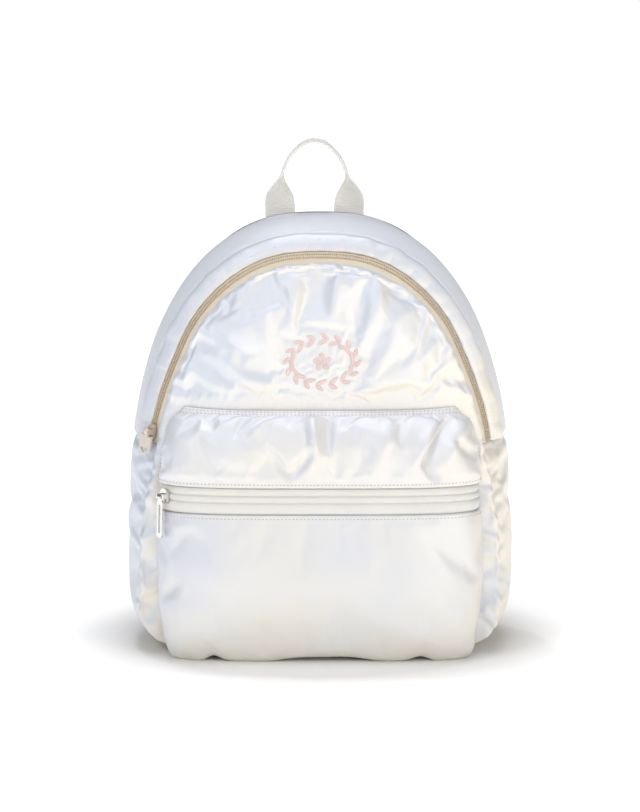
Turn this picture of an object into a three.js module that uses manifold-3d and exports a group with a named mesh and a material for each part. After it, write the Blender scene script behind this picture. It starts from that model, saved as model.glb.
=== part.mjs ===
// A small puffer backpack in pearl nylon, standing on its base.
// Millimetres, +Z up, the wearer's back is at +Y, the pocket faces -Y.
// The origin is the middle of the flat base, on the floor.
import * as THREE from "three";
import { mergeVertices } from "three/addons/utils/BufferGeometryUtils.js";
import Module from "manifold-3d";

const wasm = await Module();
wasm.setup();

// Body: the widest outline, seen from the front, and the depth between the two seams
const bodyWidth = 276;
const bodyHeight = 314;
const bodyDepth = 96;
const shoulderHeight = 112;
const cornerWidth = 32;
const cornerHeight = 38;
const crownPowerAcross = 2.5;
const crownPowerUp = 2.05;
const baseSag = 1.2;

// Cloth walls: two layers and wadding between seams, turned edges at a seam
const seamThickness = 3;
const padThickness = 8;
const seamGap = 0.35;
const backCrown = 6;
const frontCrownLow = 6;
const frontCrownHigh = 17;
const crownStart = 120;
const crownFull = 205;
const panelCentreHeight = 146;
const panelFullness = 3.2;
const panelRowBias = 1.25;
const backFullness = 6;
const backRowBias = 1.8;
const paddingFullness = 0.6;

// Gathers where the front panel is sewn in, and where the sides are sewn to it
const panelGathers = 21;
const panelGatherDepth = 1.3;
const panelGatherPlace = 0.88;
const panelGatherBand = 0.07;
const gatherFade = 30;
const sideGathers = 18;
const sideGatherDepth = 1.1;
const sideGatherPlace = 0.2;
const sideGatherBand = 0.14;

// Main zip: height of its two ends, the tape in its recess, the coil and the padded flap over it
const zipEndHeight = 156;
const zipTapeWidth = 9;
const zipTapeThickness = 1.5;
const zipRecess = 1.5;
const coilWidth = 4.2;
const coilHeight = 1.7;
const coilCrestShare = 0.6;
const flapWidth = 12;
const flapRise = 4;
const flapThickness = 4;

// Front pocket: half its width, its height, and how far it stands off the front panel
const pocketHalfWidth = 116;
const pocketHeight = 181;
const pocketProud = 40;
const pocketSquareness = 4;
const pocketWall = 6;
const pocketTopLean = 0.6;
const pouchFootShare = 1 / 6;
const pouchRimShare = 1 / 4;
const pouchLiftEnd = 5 / 8;
const pocketZipThickness = 2.6;
const pocketZipRibs = 3;
const pocketZipRibHeight = 1.1;

// Handle of ribbed webbing
const handleSpan = 50.5;
const handleRise = 50;
const handleTail = 16;
const handleShift = -4;
const handleFlat = 15;
const handleTwist = 30;
const handleWebbing = 22;
const handleThickness = 2.2;

// Shoulder straps, their webbing and ladder buckles
const strapWidth = 46;
const strapThickness = 8;
const strapEndShare = 0.55;
const strapEndLength = 18;
const strapTopDrop = 27;
const strapTopSpacing = 68;
const strapFootHeight = 92;
const strapFootSpacing = 158;
const strapBow = 24;
const webbingWidth = 20;
const webbingThickness = 1.6;
const anchorInset = 40;
const anchorHeight = 28;
const buckleBar = 3.2;
const buckleSlot = 4.4;
const buckleThickness = 3.6;
const buckleRail = 3;
const tailLength = 52;
const tailSpread = 9;
const buckleDrop = 6.4;
const tabMargin = 0.6;
const footLift = 7;
const padSquareness = 0.45;
const strapTaper = 0.8;
const strapFootStraight = 12;

// Zip sliders and their pulls
const sliderWidth = 7.4;
const sliderLength = 11;
const sliderThickness = 2.4;
const sliderCorner = 3.3;
const lugThickness = 1.3;
const lugLength = 3.8;
const pinRadius = 0.7;
const pinCover = 0.5;
const pinClearance = 0.35;
const eyeWall = 0.9;
const neckSeatShare = 1 / 3;
const pullThickness = 1.8;
const mainPullWidth = 12.6;
const mainPullLength = 16;
const mainPullSlot = 3.4;
const mainPullDip = 1.2;
const mainPullFoot = 4.7;
const mainPullRim = 2;
const pocketPullWidth = 5.6;
const pocketPullLength = 27;
const pocketPullSlot = 2.2;
const pocketPullRim = 3.1;
const pocketPullCorner = 2.2;
const mainSliderRise = 8;
const pocketSliderPlace = 0.13;

// How far each seam lies inside the widest outline, as shares of the body's depth, by height,
// and how full the strip between them is
const seamInsets = [
  { up: 0.0, front: 0.07, back: 0.085, fullness: 2.3 },
  { up: 0.25, front: 0.09, back: 0.1, fullness: 2.3 },
  { up: 0.5, front: 0.19, back: 0.1, fullness: 2.0 },
  { up: 0.75, front: 0.24, back: 0.07, fullness: 1.6 },
  { up: 1.0, front: 0.31, back: 0.045, fullness: 1.4 },
];

// Pocket sections from the base seam, under and up the face, to the top seam:
// height and half width as shares of the pocket's, out as a share of how far it stands proud
const pocketSections = [
  { place: "base seam", up: 0.06, out: 0.0, half: 0.8 },
  { place: "base middle", up: 0.0, out: 0.36, half: 0.87 },
  { place: "floor edge", up: 0.0, out: 0.74, half: 0.92 },
  { place: "lower face", up: 0.09, out: 0.97, half: 0.965 },
  { place: "belly", up: 0.3, out: 1.0, half: 1.0 },
  { place: "below zip", up: 0.6, out: 0.87, half: 0.995 },
  { place: "above zip", up: 0.702, out: 0.83, half: 0.99 },
  { place: "yoke face", up: 0.85, out: 0.66, half: 0.975 },
  { place: "yoke shoulder", up: 0.95, out: 0.34, half: 0.92 },
  { place: "top seam", up: 1.0, out: 0.04, half: 0.84 },
];
const belly = 4;
const belowZip = 5;
const aboveZip = 6;
const yokeFace = 7;
const topSeam = 9;
const stationGap = 0.015;
const profileTension = 0.45;
const lineTension = 0.5;

// Main folds of the front panel: where each starts and ends as shares of half the body's width and
// of its height, and its width and height as shares of the body's depth
const panelFolds = [
  { fromX: -0.1, fromZ: 0.9, toX: -0.16, toZ: 0.74, width: 0.07, rise: 0.03 },
  { fromX: 0.1, fromZ: 0.9, toX: 0.06, toZ: 0.76, width: 0.07, rise: 0.03 },
  { fromX: 0.34, fromZ: 0.87, toX: 0.2, toZ: 0.7, width: 0.08, rise: 0.03 },
  { fromX: -0.32, fromZ: 0.8, toX: -0.24, toZ: 0.67, width: 0.09, rise: 0.03 },
  { fromX: 0.46, fromZ: 0.82, toX: 0.22, toZ: 0.6, width: 0.12, rise: 0.03 },
];

// Folds of the pocket: across as a share along its section, up as a share of its rows
const yokeFolds = [
  { across: 0.74, width: 0.035, rise: 3.0 },
  { across: 0.45, width: 0.04, rise: 1.6 },
];
const pouchLifts = [
  { across: 0.345, width: 0.03, rise: 3.2 },
  { across: 0.5, width: 0.03, rise: 2.0 },
  { across: 0.613, width: 0.03, rise: 2.8 },
];

// The handle's centre line: across as a share of half its span, up as a share of its rise
const handleLine = [
  { across: 1.0, up: 0.0 },
  { across: 1.03, up: 0.25 },
  { across: 0.97, up: 0.47 },
  { across: 0.74, up: 0.75 },
  { across: 0.36, up: 0.95 },
  { across: 0.0, up: 1.0 },
];

// A shoulder strap's line down the back, from its sewn end: how far down as a share of its span,
// and how far it stands off as a share of its bow
const strapLine = [
  { down: 0.08, off: 0.0 },
  { down: 0.28, off: 0.62 },
  { down: 0.55, off: 1.0 },
  { down: 0.8, off: 0.72 },
];

// Detail of the faceted surfaces
const panelColumns = 63;
const panelRows = 7;
const gussetColumns = 60;
const gussetRows = 5;
const archColumns = 40;
const bandRows = 4;
const flapRows = 4;
const backColumns = 40;
const backRows = 4;
const pocketColumns = 30;
const pouchRows = 9;
const yokeRows = 5;
const ribRows = 2;
const handleSteps = 30;
const strapSteps = 14;
const webbingSteps = 30;
const tabSteps = 16;
const roundSides = 12;
const padSides = 10;
const pinSides = 10;
const arcSegments = 3;
const turnShares = [0, 0.25, 0.5, 0.75, 1];
const outlineDivisions = 800;
const reachSteps = 360;
const halvings = 40;
const turnStep = 0.002;
const acrossStep = 0.008;
const pocketStep = 0.004;
const weld = 1e-3;

const pearl = { color: 0xeae8e3, roughness: 0.35, metalness: 0.25 };
const pearlCool = { color: 0xdfe3ec, roughness: 0.35, metalness: 0.25 };
const cream = { color: 0xe9e4d8, roughness: 0.75, metalness: 0.0 };
const tan = { color: 0xc9b795, roughness: 0.8, metalness: 0.0 };
const ivory = { color: 0xf3ece6, roughness: 0.45, metalness: 0.0 };
const silver = { color: 0xd9d7d0, roughness: 0.25, metalness: 0.9 };

const backpack = new THREE.Group();

function addPiece(name, geometry, finish, parent = backpack) {
  const mesh = new THREE.Mesh(geometry, new THREE.MeshStandardMaterial(finish));
  mesh.name = name;
  parent.add(mesh);
  return mesh;
}

// One closed surface from corner points, three to a face, with every face turned outwards
function closedSurface(corners) {
  const loose = new THREE.BufferGeometry();
  const numbers = corners.flatMap((p) => [p.x, p.y, p.z]);
  loose.setAttribute("position", new THREE.Float32BufferAttribute(numbers, 3));
  const geometry = mergeVertices(loose, weld);
  const order = geometry.index.array;
  const kept = [];
  for (let i = 0; i < order.length; i += 3) {
    const [a, b, c] = [order[i], order[i + 1], order[i + 2]];
    if (a !== b && b !== c && a !== c) kept.push(a, b, c);
  }
  const at = (i) => new THREE.Vector3().fromBufferAttribute(geometry.attributes.position, i);
  let volume = 0;
  for (let i = 0; i < kept.length; i += 3) {
    volume += at(kept[i]).dot(at(kept[i + 1]).cross(at(kept[i + 2])));
  }
  geometry.setIndex(volume < 0 ? kept.reverse() : kept);
  geometry.computeVertexNormals();
  return geometry;
}

// A closed wall between an outer and an inner skin, each a function of two shares from 0 to 1.
// A looped wall meets itself in its first direction.
function wall(outer, inner, columns, rows, looped = false) {
  const corners = [];
  const quad = (a, b, c, d) => corners.push(a, b, c, a, c, d);
  for (let i = 0; i < columns; i++) {
    const [u0, u1] = [i / columns, (i + 1) / columns];
    for (let j = 0; j < rows; j++) {
      const [v0, v1] = [j / rows, (j + 1) / rows];
      quad(outer(u0, v0), outer(u1, v0), outer(u1, v1), outer(u0, v1));
      quad(inner(u0, v1), inner(u1, v1), inner(u1, v0), inner(u0, v0));
    }
    quad(inner(u0, 0), inner(u1, 0), outer(u1, 0), outer(u0, 0));
    quad(outer(u0, 1), outer(u1, 1), inner(u1, 1), inner(u0, 1));
  }
  for (let j = 0; j < rows && !looped; j++) {
    const [v0, v1] = [j / rows, (j + 1) / rows];
    quad(outer(0, v0), outer(0, v1), inner(0, v1), inner(0, v0));
    quad(inner(1, v0), inner(1, v1), outer(1, v1), outer(1, v0));
  }
  return closedSurface(corners);
}

// A solid swept along a curve. side(u) is the direction of the section's first axis, and
// section(u) its outline as [along side, along normal] pairs. Its steps are of even length, or
// else as many between any two points of the curve, which are close together where it bends.
function sweep(curve, side, section, steps, even = true) {
  const rings = [];
  for (let i = 0; i <= steps; i++) {
    const u = i / steps;
    const centre = even ? curve.getPointAt(u) : curve.getPoint(u);
    const along = even ? curve.getTangentAt(u) : curve.getTangent(u);
    const across = side(u, along).clone();
    across.addScaledVector(along, -across.dot(along)).normalize();
    const normal = new THREE.Vector3().crossVectors(along, across);
    rings.push(
      section(u).map(([s, n]) =>
        centre.clone().addScaledVector(across, s).addScaledVector(normal, n),
      ),
    );
  }
  const corners = [];
  const count = rings[0].length;
  for (let i = 0; i < steps; i++) {
    for (let k = 0; k < count; k++) {
      const next = (k + 1) % count;
      const [a, b] = [rings[i][k], rings[i][next]];
      const [c, d] = [rings[i + 1][next], rings[i + 1][k]];
      corners.push(a, b, c, a, c, d);
    }
  }
  for (let k = 1; k < count - 1; k++) {
    corners.push(rings[0][0], rings[0][k + 1], rings[0][k]);
    corners.push(rings[steps][0], rings[steps][k], rings[steps][k + 1]);
  }
  return closedSurface(corners);
}

// Value of a column between the rows of a table, eased from row to row
function between(table, column, up) {
  const place = THREE.MathUtils.clamp(up, table[0].up, table.at(-1).up);
  const next = Math.max(1, table.findIndex((row) => row.up >= place));
  const [low, high] = [table[next - 1], table[next]];
  const share = THREE.MathUtils.smoothstep(place, low.up, high.up);
  return THREE.MathUtils.lerp(low[column], high[column], share);
}

// The widest outline of the body, counterclockwise from the middle of the base: a straight base,
// an elliptic corner, a straight side and a rounded crown, and the same mirrored
class BodyOutline extends THREE.Curve {
  constructor() {
    super();
    this.arcLengthDivisions = outlineDivisions;
    const half = bodyWidth / 2;
    const crown = bodyHeight - shoulderHeight;
    const lengths = [
      half - cornerWidth,
      (Math.PI / 4) * (cornerWidth + cornerHeight),
      shoulderHeight - cornerHeight,
      (Math.PI / 4) * (half + crown),
    ];
    const total = lengths.reduce((sum, length) => sum + length, 0);
    this.ends = lengths.map((_, i) => lengths.slice(0, i + 1).reduce((s, l) => s + l) / total);
  }

  getPoint(t, target = new THREE.Vector2()) {
    const mirrored = t > 0.5;
    const s = 2 * (mirrored ? 1 - t : t);
    const half = bodyWidth / 2;
    const [base, corner, side] = this.ends;
    if (s <= base) target.set((half - cornerWidth) * (s / base), 0);
    else if (s <= corner) {
      const angle = (Math.PI / 2) * ((s - base) / (corner - base));
      target.x = half - cornerWidth + cornerWidth * Math.sin(angle);
      target.y = cornerHeight * (1 - Math.cos(angle));
    } else if (s <= side) {
      const share = (s - corner) / (side - corner);
      target.set(half, THREE.MathUtils.lerp(cornerHeight, shoulderHeight, share));
    } else {
      const angle = (Math.PI / 2) * ((s - side) / (1 - side));
      target.x = half * Math.cos(angle) ** (2 / crownPowerAcross);
      target.y = (bodyHeight - shoulderHeight) * Math.sin(angle) ** (2 / crownPowerUp);
      target.y += shoulderHeight;
    }
    if (mirrored) target.x = -target.x;
    return target;
  }
}
const outline = new BodyOutline();
const perimeter = outline.getLength();

// Share of the outline, from the middle of the base, at which the right side reaches a height
function shareAtHeight(height) {
  let [low, high] = [0, 0.5];
  for (let i = 0; i < halvings; i++) {
    const middle = (low + high) / 2;
    if (outline.getPointAt(middle).y < height) low = middle;
    else high = middle;
  }
  return low;
}

// A point of the gusset: share runs round the outline, across from the front seam at 0 to the back
// seam at 1, and depth goes in from the skin
function gussetPoint(share, across, depth = 0) {
  const turn = THREE.MathUtils.euclideanModulo(share, 1);
  const edge = outline.getPointAt(turn);
  const along = outline.getTangentAt(turn);
  const up = edge.y / bodyHeight;
  const front = between(seamInsets, "front", up) * bodyDepth;
  const back = between(seamInsets, "back", up) * bodyDepth;
  const pinched = Math.abs(2 * across - 1) ** between(seamInsets, "fullness", up);
  const inset = THREE.MathUtils.lerp(front, back, across) * pinched + depth;
  const x = edge.x - along.y * inset;
  const z = edge.y + along.x * inset;
  return new THREE.Vector3(x, (across - 0.5) * bodyDepth, Math.max(z - baseSag, depth));
}

const zipEndShare = shareAtHeight(zipEndHeight);
const gapShare = seamGap / 2 / perimeter;
const tapeAcross = zipTapeWidth / bodyDepth;
const flapAcross = tapeAcross + flapWidth / bodyDepth;
const gapAcross = seamGap / bodyDepth;

// Distance from the panels' centre to their edge, by direction, for finding a place on a panel
function panelReach(across) {
  const rays = [];
  for (let i = 0; i < reachSteps; i++) {
    const p = gussetPoint(i / reachSteps, across);
    const [x, z] = [p.x, p.z - panelCentreHeight];
    rays.push({ angle: Math.atan2(z, x), reach: Math.hypot(x, z) });
  }
  rays.sort((a, b) => a.angle - b.angle);
  return (x, z) => {
    const angle = Math.atan2(z - panelCentreHeight, x);
    const next = rays.findIndex((ray) => ray.angle >= angle);
    const high = rays[next < 0 ? 0 : next];
    const low = rays[(next < 0 ? 0 : next) - 1] ?? rays[reachSteps - 1];
    let span = high.angle - low.angle;
    if (span <= 0) span += 2 * Math.PI;
    let past = angle - low.angle;
    if (past < 0) past += 2 * Math.PI;
    const reach = THREE.MathUtils.lerp(low.reach, high.reach, past / span);
    return Math.hypot(x, z - panelCentreHeight) / reach;
  };
}
const frontShareOut = panelReach(0);
const backShareOut = panelReach(1);

// How far the front panel's skin puffs out at a place, without gathers
function frontPuff(x, z, out) {
  const rise = THREE.MathUtils.smoothstep(z, crownStart, crownFull);
  const crown = THREE.MathUtils.lerp(frontCrownLow, frontCrownHigh, rise);
  return crown * (1 - Math.min(1, out) ** panelFullness);
}

// Depth coordinate of the front panel's skin at a place
function frontSkin(x, z) {
  const edge = bodyDepth / 2 + seamGap + seamThickness;
  return -edge - frontPuff(x, z, frontShareOut(x, z));
}

// Depth coordinate of the back panel's skin at a place
function backSkin(x, z) {
  const edge = bodyDepth / 2 + seamGap + seamThickness;
  return edge + backCrown * (1 - Math.min(1, backShareOut(x, z)) ** backFullness);
}

// Ridges of the main folds at a place on the front panel
function foldRise(x, z) {
  let rise = 0;
  for (const fold of panelFolds) {
    const start = new THREE.Vector2((fold.fromX * bodyWidth) / 2, fold.fromZ * bodyHeight);
    const end = new THREE.Vector2((fold.toX * bodyWidth) / 2, fold.toZ * bodyHeight);
    const line = end.clone().sub(start);
    const place = new THREE.Vector2(x, z).sub(start);
    const along = place.dot(line) / line.lengthSq();
    const aside = Math.abs(place.cross(line)) / line.length();
    const width = fold.width * bodyDepth;
    const fade = along > 0 && along < 1 ? Math.sin(Math.PI * along) : 0;
    rise += fold.rise * bodyDepth * fade * Math.exp(-((aside / width) ** 2));
  }
  return rise;
}

function frontPanel() {
  const centre = new THREE.Vector3(0, 0, panelCentreHeight);
  const place = (share, inward) => gussetPoint(share, 0).lerp(centre, inward);
  const outer = (share, v) => {
    const inward = v ** panelRowBias;
    const p = place(share, inward);
    const band = Math.exp(-(((1 - inward - panelGatherPlace) / panelGatherBand) ** 2));
    const free = THREE.MathUtils.smoothstep(p.z, pocketHeight, pocketHeight + gatherFade);
    const gather = panelGatherDepth * band * free * Math.cos(2 * Math.PI * panelGathers * share);
    p.y = -(bodyDepth / 2 + seamGap + seamThickness) - frontPuff(p.x, p.z, 1 - inward);
    p.y -= gather + foldRise(p.x, p.z);
    return p;
  };
  const inner = (share, v) => {
    const inward = v ** panelRowBias;
    const p = place(share, inward);
    const puff = frontPuff(p.x, p.z, 1 - inward);
    const padding = (padThickness - seamThickness) * Math.min(1, puff / frontCrownLow);
    p.y = -(bodyDepth / 2 + seamGap) - puff + padding;
    p.y = Math.min(p.y, -(bodyDepth / 2 + seamGap));
    return p;
  };
  return wall(outer, inner, panelColumns, panelRows, true);
}

function backPanel() {
  const centre = new THREE.Vector3(0, 0, panelCentreHeight);
  const outer = (share, v) => {
    const inward = v ** backRowBias;
    const p = gussetPoint(share, 1).lerp(centre, inward);
    p.y = bodyDepth / 2 + seamGap + seamThickness + backCrown * (1 - (1 - inward) ** backFullness);
    return p;
  };
  const inner = (share, v) => {
    const p = gussetPoint(share, 1).lerp(centre, v ** backRowBias);
    p.y = bodyDepth / 2 + seamGap;
    return p;
  };
  return wall(outer, inner, backColumns, backRows, true);
}

// Wadding is thin at a seam and full between seams
function padding(across, start, end) {
  const share = (across - start) / (end - start);
  const full = Math.sin(Math.PI * share) ** paddingFullness;
  return THREE.MathUtils.lerp(seamThickness, padThickness, full);
}

// The sides and the base in one strip, between the two ends of the zip
function baseGusset() {
  const place = (u) => THREE.MathUtils.lerp(-zipEndShare + gapShare, zipEndShare - gapShare, u);
  const outer = (u, v) => {
    const share = place(u);
    const upright = Math.abs(outline.getTangentAt(THREE.MathUtils.euclideanModulo(share, 1)).y);
    const band = Math.exp(-(((v - sideGatherPlace) / sideGatherBand) ** 2)) * upright;
    const gather = sideGatherDepth * band * (1 - Math.cos(2 * Math.PI * sideGathers * u));
    return gussetPoint(share, v, gather);
  };
  const inner = (u, v) => gussetPoint(place(u), v, padding(v, 0, 1));
  return wall(outer, inner, gussetColumns, gussetRows);
}

// Shares of the outline over the top, from the right end of the zip to the left end
const overTop = (u) => THREE.MathUtils.lerp(zipEndShare + gapShare, 1 - zipEndShare - gapShare, u);

function topBand() {
  const start = flapAcross + gapAcross;
  const across = (v) => THREE.MathUtils.lerp(start, 1, v);
  const outer = (u, v) => gussetPoint(overTop(u), across(v));
  const inner = (u, v) => gussetPoint(overTop(u), across(v), padding(across(v), start, 1));
  return wall(outer, inner, archColumns, bandRows);
}

// A rolled, padded lip along the zip, sewn to the front edge of the top band
function zipFlap() {
  const across = (v) => THREE.MathUtils.lerp(tapeAcross + gapAcross, flapAcross, v);
  const outer = (u, v) => gussetPoint(overTop(u), across(v), -flapRise * Math.sin(Math.PI * v));
  const inner = (u, v) => {
    const hollow = Math.sin(Math.PI * v) * (flapRise - flapThickness);
    return gussetPoint(overTop(u), across(v), seamThickness - hollow);
  };
  return wall(outer, inner, archColumns, flapRows);
}

// Zip tape in its recess, with the closed coil as a ridge along its middle
function mainZip() {
  const half = coilWidth / zipTapeWidth / 2;
  const crest = half * coilCrestShare;
  const stations = [0, 0.5 - half, 0.5 - crest, 0.5 + crest, 0.5 + half, 1];
  const ridge = [0, 0, coilHeight, coilHeight, 0, 0];
  const across = (v) => THREE.MathUtils.lerp(gapAcross, tapeAcross - gapAcross, v);
  const rows = stations.length - 1;
  const outer = (u, v) => {
    const row = Math.round(v * rows);
    return gussetPoint(overTop(u), across(stations[row]), zipRecess - ridge[row]);
  };
  const inner = (u, v) => {
    const row = Math.round(v * rows);
    return gussetPoint(overTop(u), across(stations[row]), zipRecess + zipTapeThickness);
  };
  return wall(outer, inner, archColumns, rows);
}

// The pocket's profile through its sections, as half width, out and height
const pocketProfile = new THREE.CatmullRomCurve3(
  pocketSections.map(
    (row) =>
      new THREE.Vector3(row.half * pocketHalfWidth, row.out * pocketProud, row.up * pocketHeight),
  ),
  false,
  "catmullrom",
  profileTension,
);

// A point of the pocket: u runs across it from the left seam over its face to the right seam,
// station counts the rows of pocketSections, and depth goes in from the skin
function pocketPoint(u, station, depth = 0, lift = 0) {
  const at = pocketProfile.getPoint(station / (pocketSections.length - 1));
  const angle = Math.PI * (1 - u);
  const swing = Math.cos(angle);
  const across = Math.sign(swing) * Math.abs(swing) ** (2 / pocketSquareness);
  const forward = Math.abs(Math.sin(angle)) ** (2 / pocketSquareness);
  const x = across * (at.x - depth);
  const under = 1 - THREE.MathUtils.smoothstep(station, 0, belly);
  const top = THREE.MathUtils.smoothstep(station, yokeFace, topSeam);
  const z = Math.max(at.z, 0) + depth * (under - top) + lift * forward;
  const out = Math.max(at.y - depth * (1 - under) * (1 - pocketTopLean * top), 0);
  return new THREE.Vector3(x, frontSkin(x, z) - seamGap - out * forward, z);
}

function foldsAlong(folds, u) {
  return folds.reduce((sum, f) => sum + f.rise * Math.exp(-(((u - f.across) / f.width) ** 2)), 0);
}

// Even steps across the pocket's section, so that its round corners get as many columns as its face
function pocketPouch() {
  const station = (v) => v * (belowZip - stationGap);
  const swell = (v) => Math.sin(Math.PI * Math.min(1, v / pouchLiftEnd));
  const lift = (u, v) => foldsAlong(pouchLifts, u) * swell(v);
  const outer = (u, v) => pocketPoint(u, station(v), 0, lift(u, v));
  const inner = (u, v) => {
    const rim = Math.min(1, (1 - v) / pouchRimShare, v / pouchFootShare);
    const depth = THREE.MathUtils.lerp(seamThickness, pocketWall, rim);
    return pocketPoint(u, station(v), depth, lift(u, v));
  };
  return wall(outer, inner, pocketColumns, pouchRows);
}

function pocketYoke() {
  const station = (v) => THREE.MathUtils.lerp(aboveZip + stationGap, topSeam, v);
  const outer = (u, v) => {
    const fold = foldsAlong(yokeFolds, u) * Math.sin(Math.PI * v);
    return pocketPoint(u, station(v), fold);
  };
  const inner = (u, v) => {
    const depth = THREE.MathUtils.lerp(seamThickness, pocketWall, Math.sin(Math.PI * v));
    return pocketPoint(u, station(v), depth + foldsAlong(yokeFolds, u) * Math.sin(Math.PI * v));
  };
  return wall(outer, inner, pocketColumns, yokeRows);
}

// Pocket zip: three half round ribs, which are the coil between two folded tape edges
function pocketZip() {
  const rows = pocketZipRibs * ribRows;
  const station = (v) => THREE.MathUtils.lerp(belowZip + stationGap, aboveZip - stationGap, v);
  const outer = (u, v) => {
    const rib = Math.abs(Math.sin(Math.PI * pocketZipRibs * v));
    return pocketPoint(u, station(v), zipRecess - pocketZipRibHeight * rib);
  };
  const inner = (u, v) => pocketPoint(u, station(v), zipRecess + pocketZipThickness);
  return wall(outer, inner, pocketColumns, rows);
}

// The section of a flat webbing
const flatSection = (width, thickness) => [
  [-width / 2, -thickness / 2],
  [width / 2, -thickness / 2],
  [width / 2, thickness / 2],
  [-width / 2, thickness / 2],
];

// Grab handle: webbing that lies flat behind the back seam and turns edge-on over the top
function handle() {
  const seamHeight = bodyHeight * (1 - seamInsets.at(-1).back * (bodyDepth / bodyHeight));
  const half = handleSpan / 2;
  const y = backSkin(half, seamHeight - handleTail) + seamGap + handleThickness / 2;
  const rising = handleLine.map(
    (row) => new THREE.Vector3(-row.across * half, y, seamHeight + row.up * handleRise),
  );
  const foot = new THREE.Vector3(-half, y, seamHeight - handleTail);
  const left = [foot, ...rising];
  const right = left.slice(0, -1).reverse();
  const points = [...left, ...right.map((p) => new THREE.Vector3(-p.x, p.y, p.z))];
  for (const point of points) point.x += handleShift;
  const curve = new THREE.CatmullRomCurve3(points, false, "catmullrom", lineTension);
  const flatShare = handleFlat / curve.getLength();
  const turnShare = (handleFlat + handleTwist) / curve.getLength();
  const side = (u, along) => {
    const fromEnd = Math.min(u, 1 - u);
    const turn = (Math.PI / 2) * THREE.MathUtils.smoothstep(fromEnd, flatShare, turnShare);
    const inPlane = new THREE.Vector3(along.z, 0, -along.x);
    return inPlane.multiplyScalar(Math.cos(turn)).add(new THREE.Vector3(0, Math.sin(turn), 0));
  };
  const section = () => flatSection(handleWebbing, handleThickness);
  return sweep(curve, side, section, handleSteps);
}

// A rounded, padded section, as wide and as thick as asked
function padSection(width, thickness) {
  const points = [];
  for (let i = 0; i < padSides; i++) {
    const angle = (2 * Math.PI * i) / padSides;
    const across = Math.sign(Math.cos(angle)) * Math.abs(Math.cos(angle)) ** padSquareness;
    points.push([(across * width) / 2, (Math.sin(angle) * thickness) / 2]);
  }
  return points;
}

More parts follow.
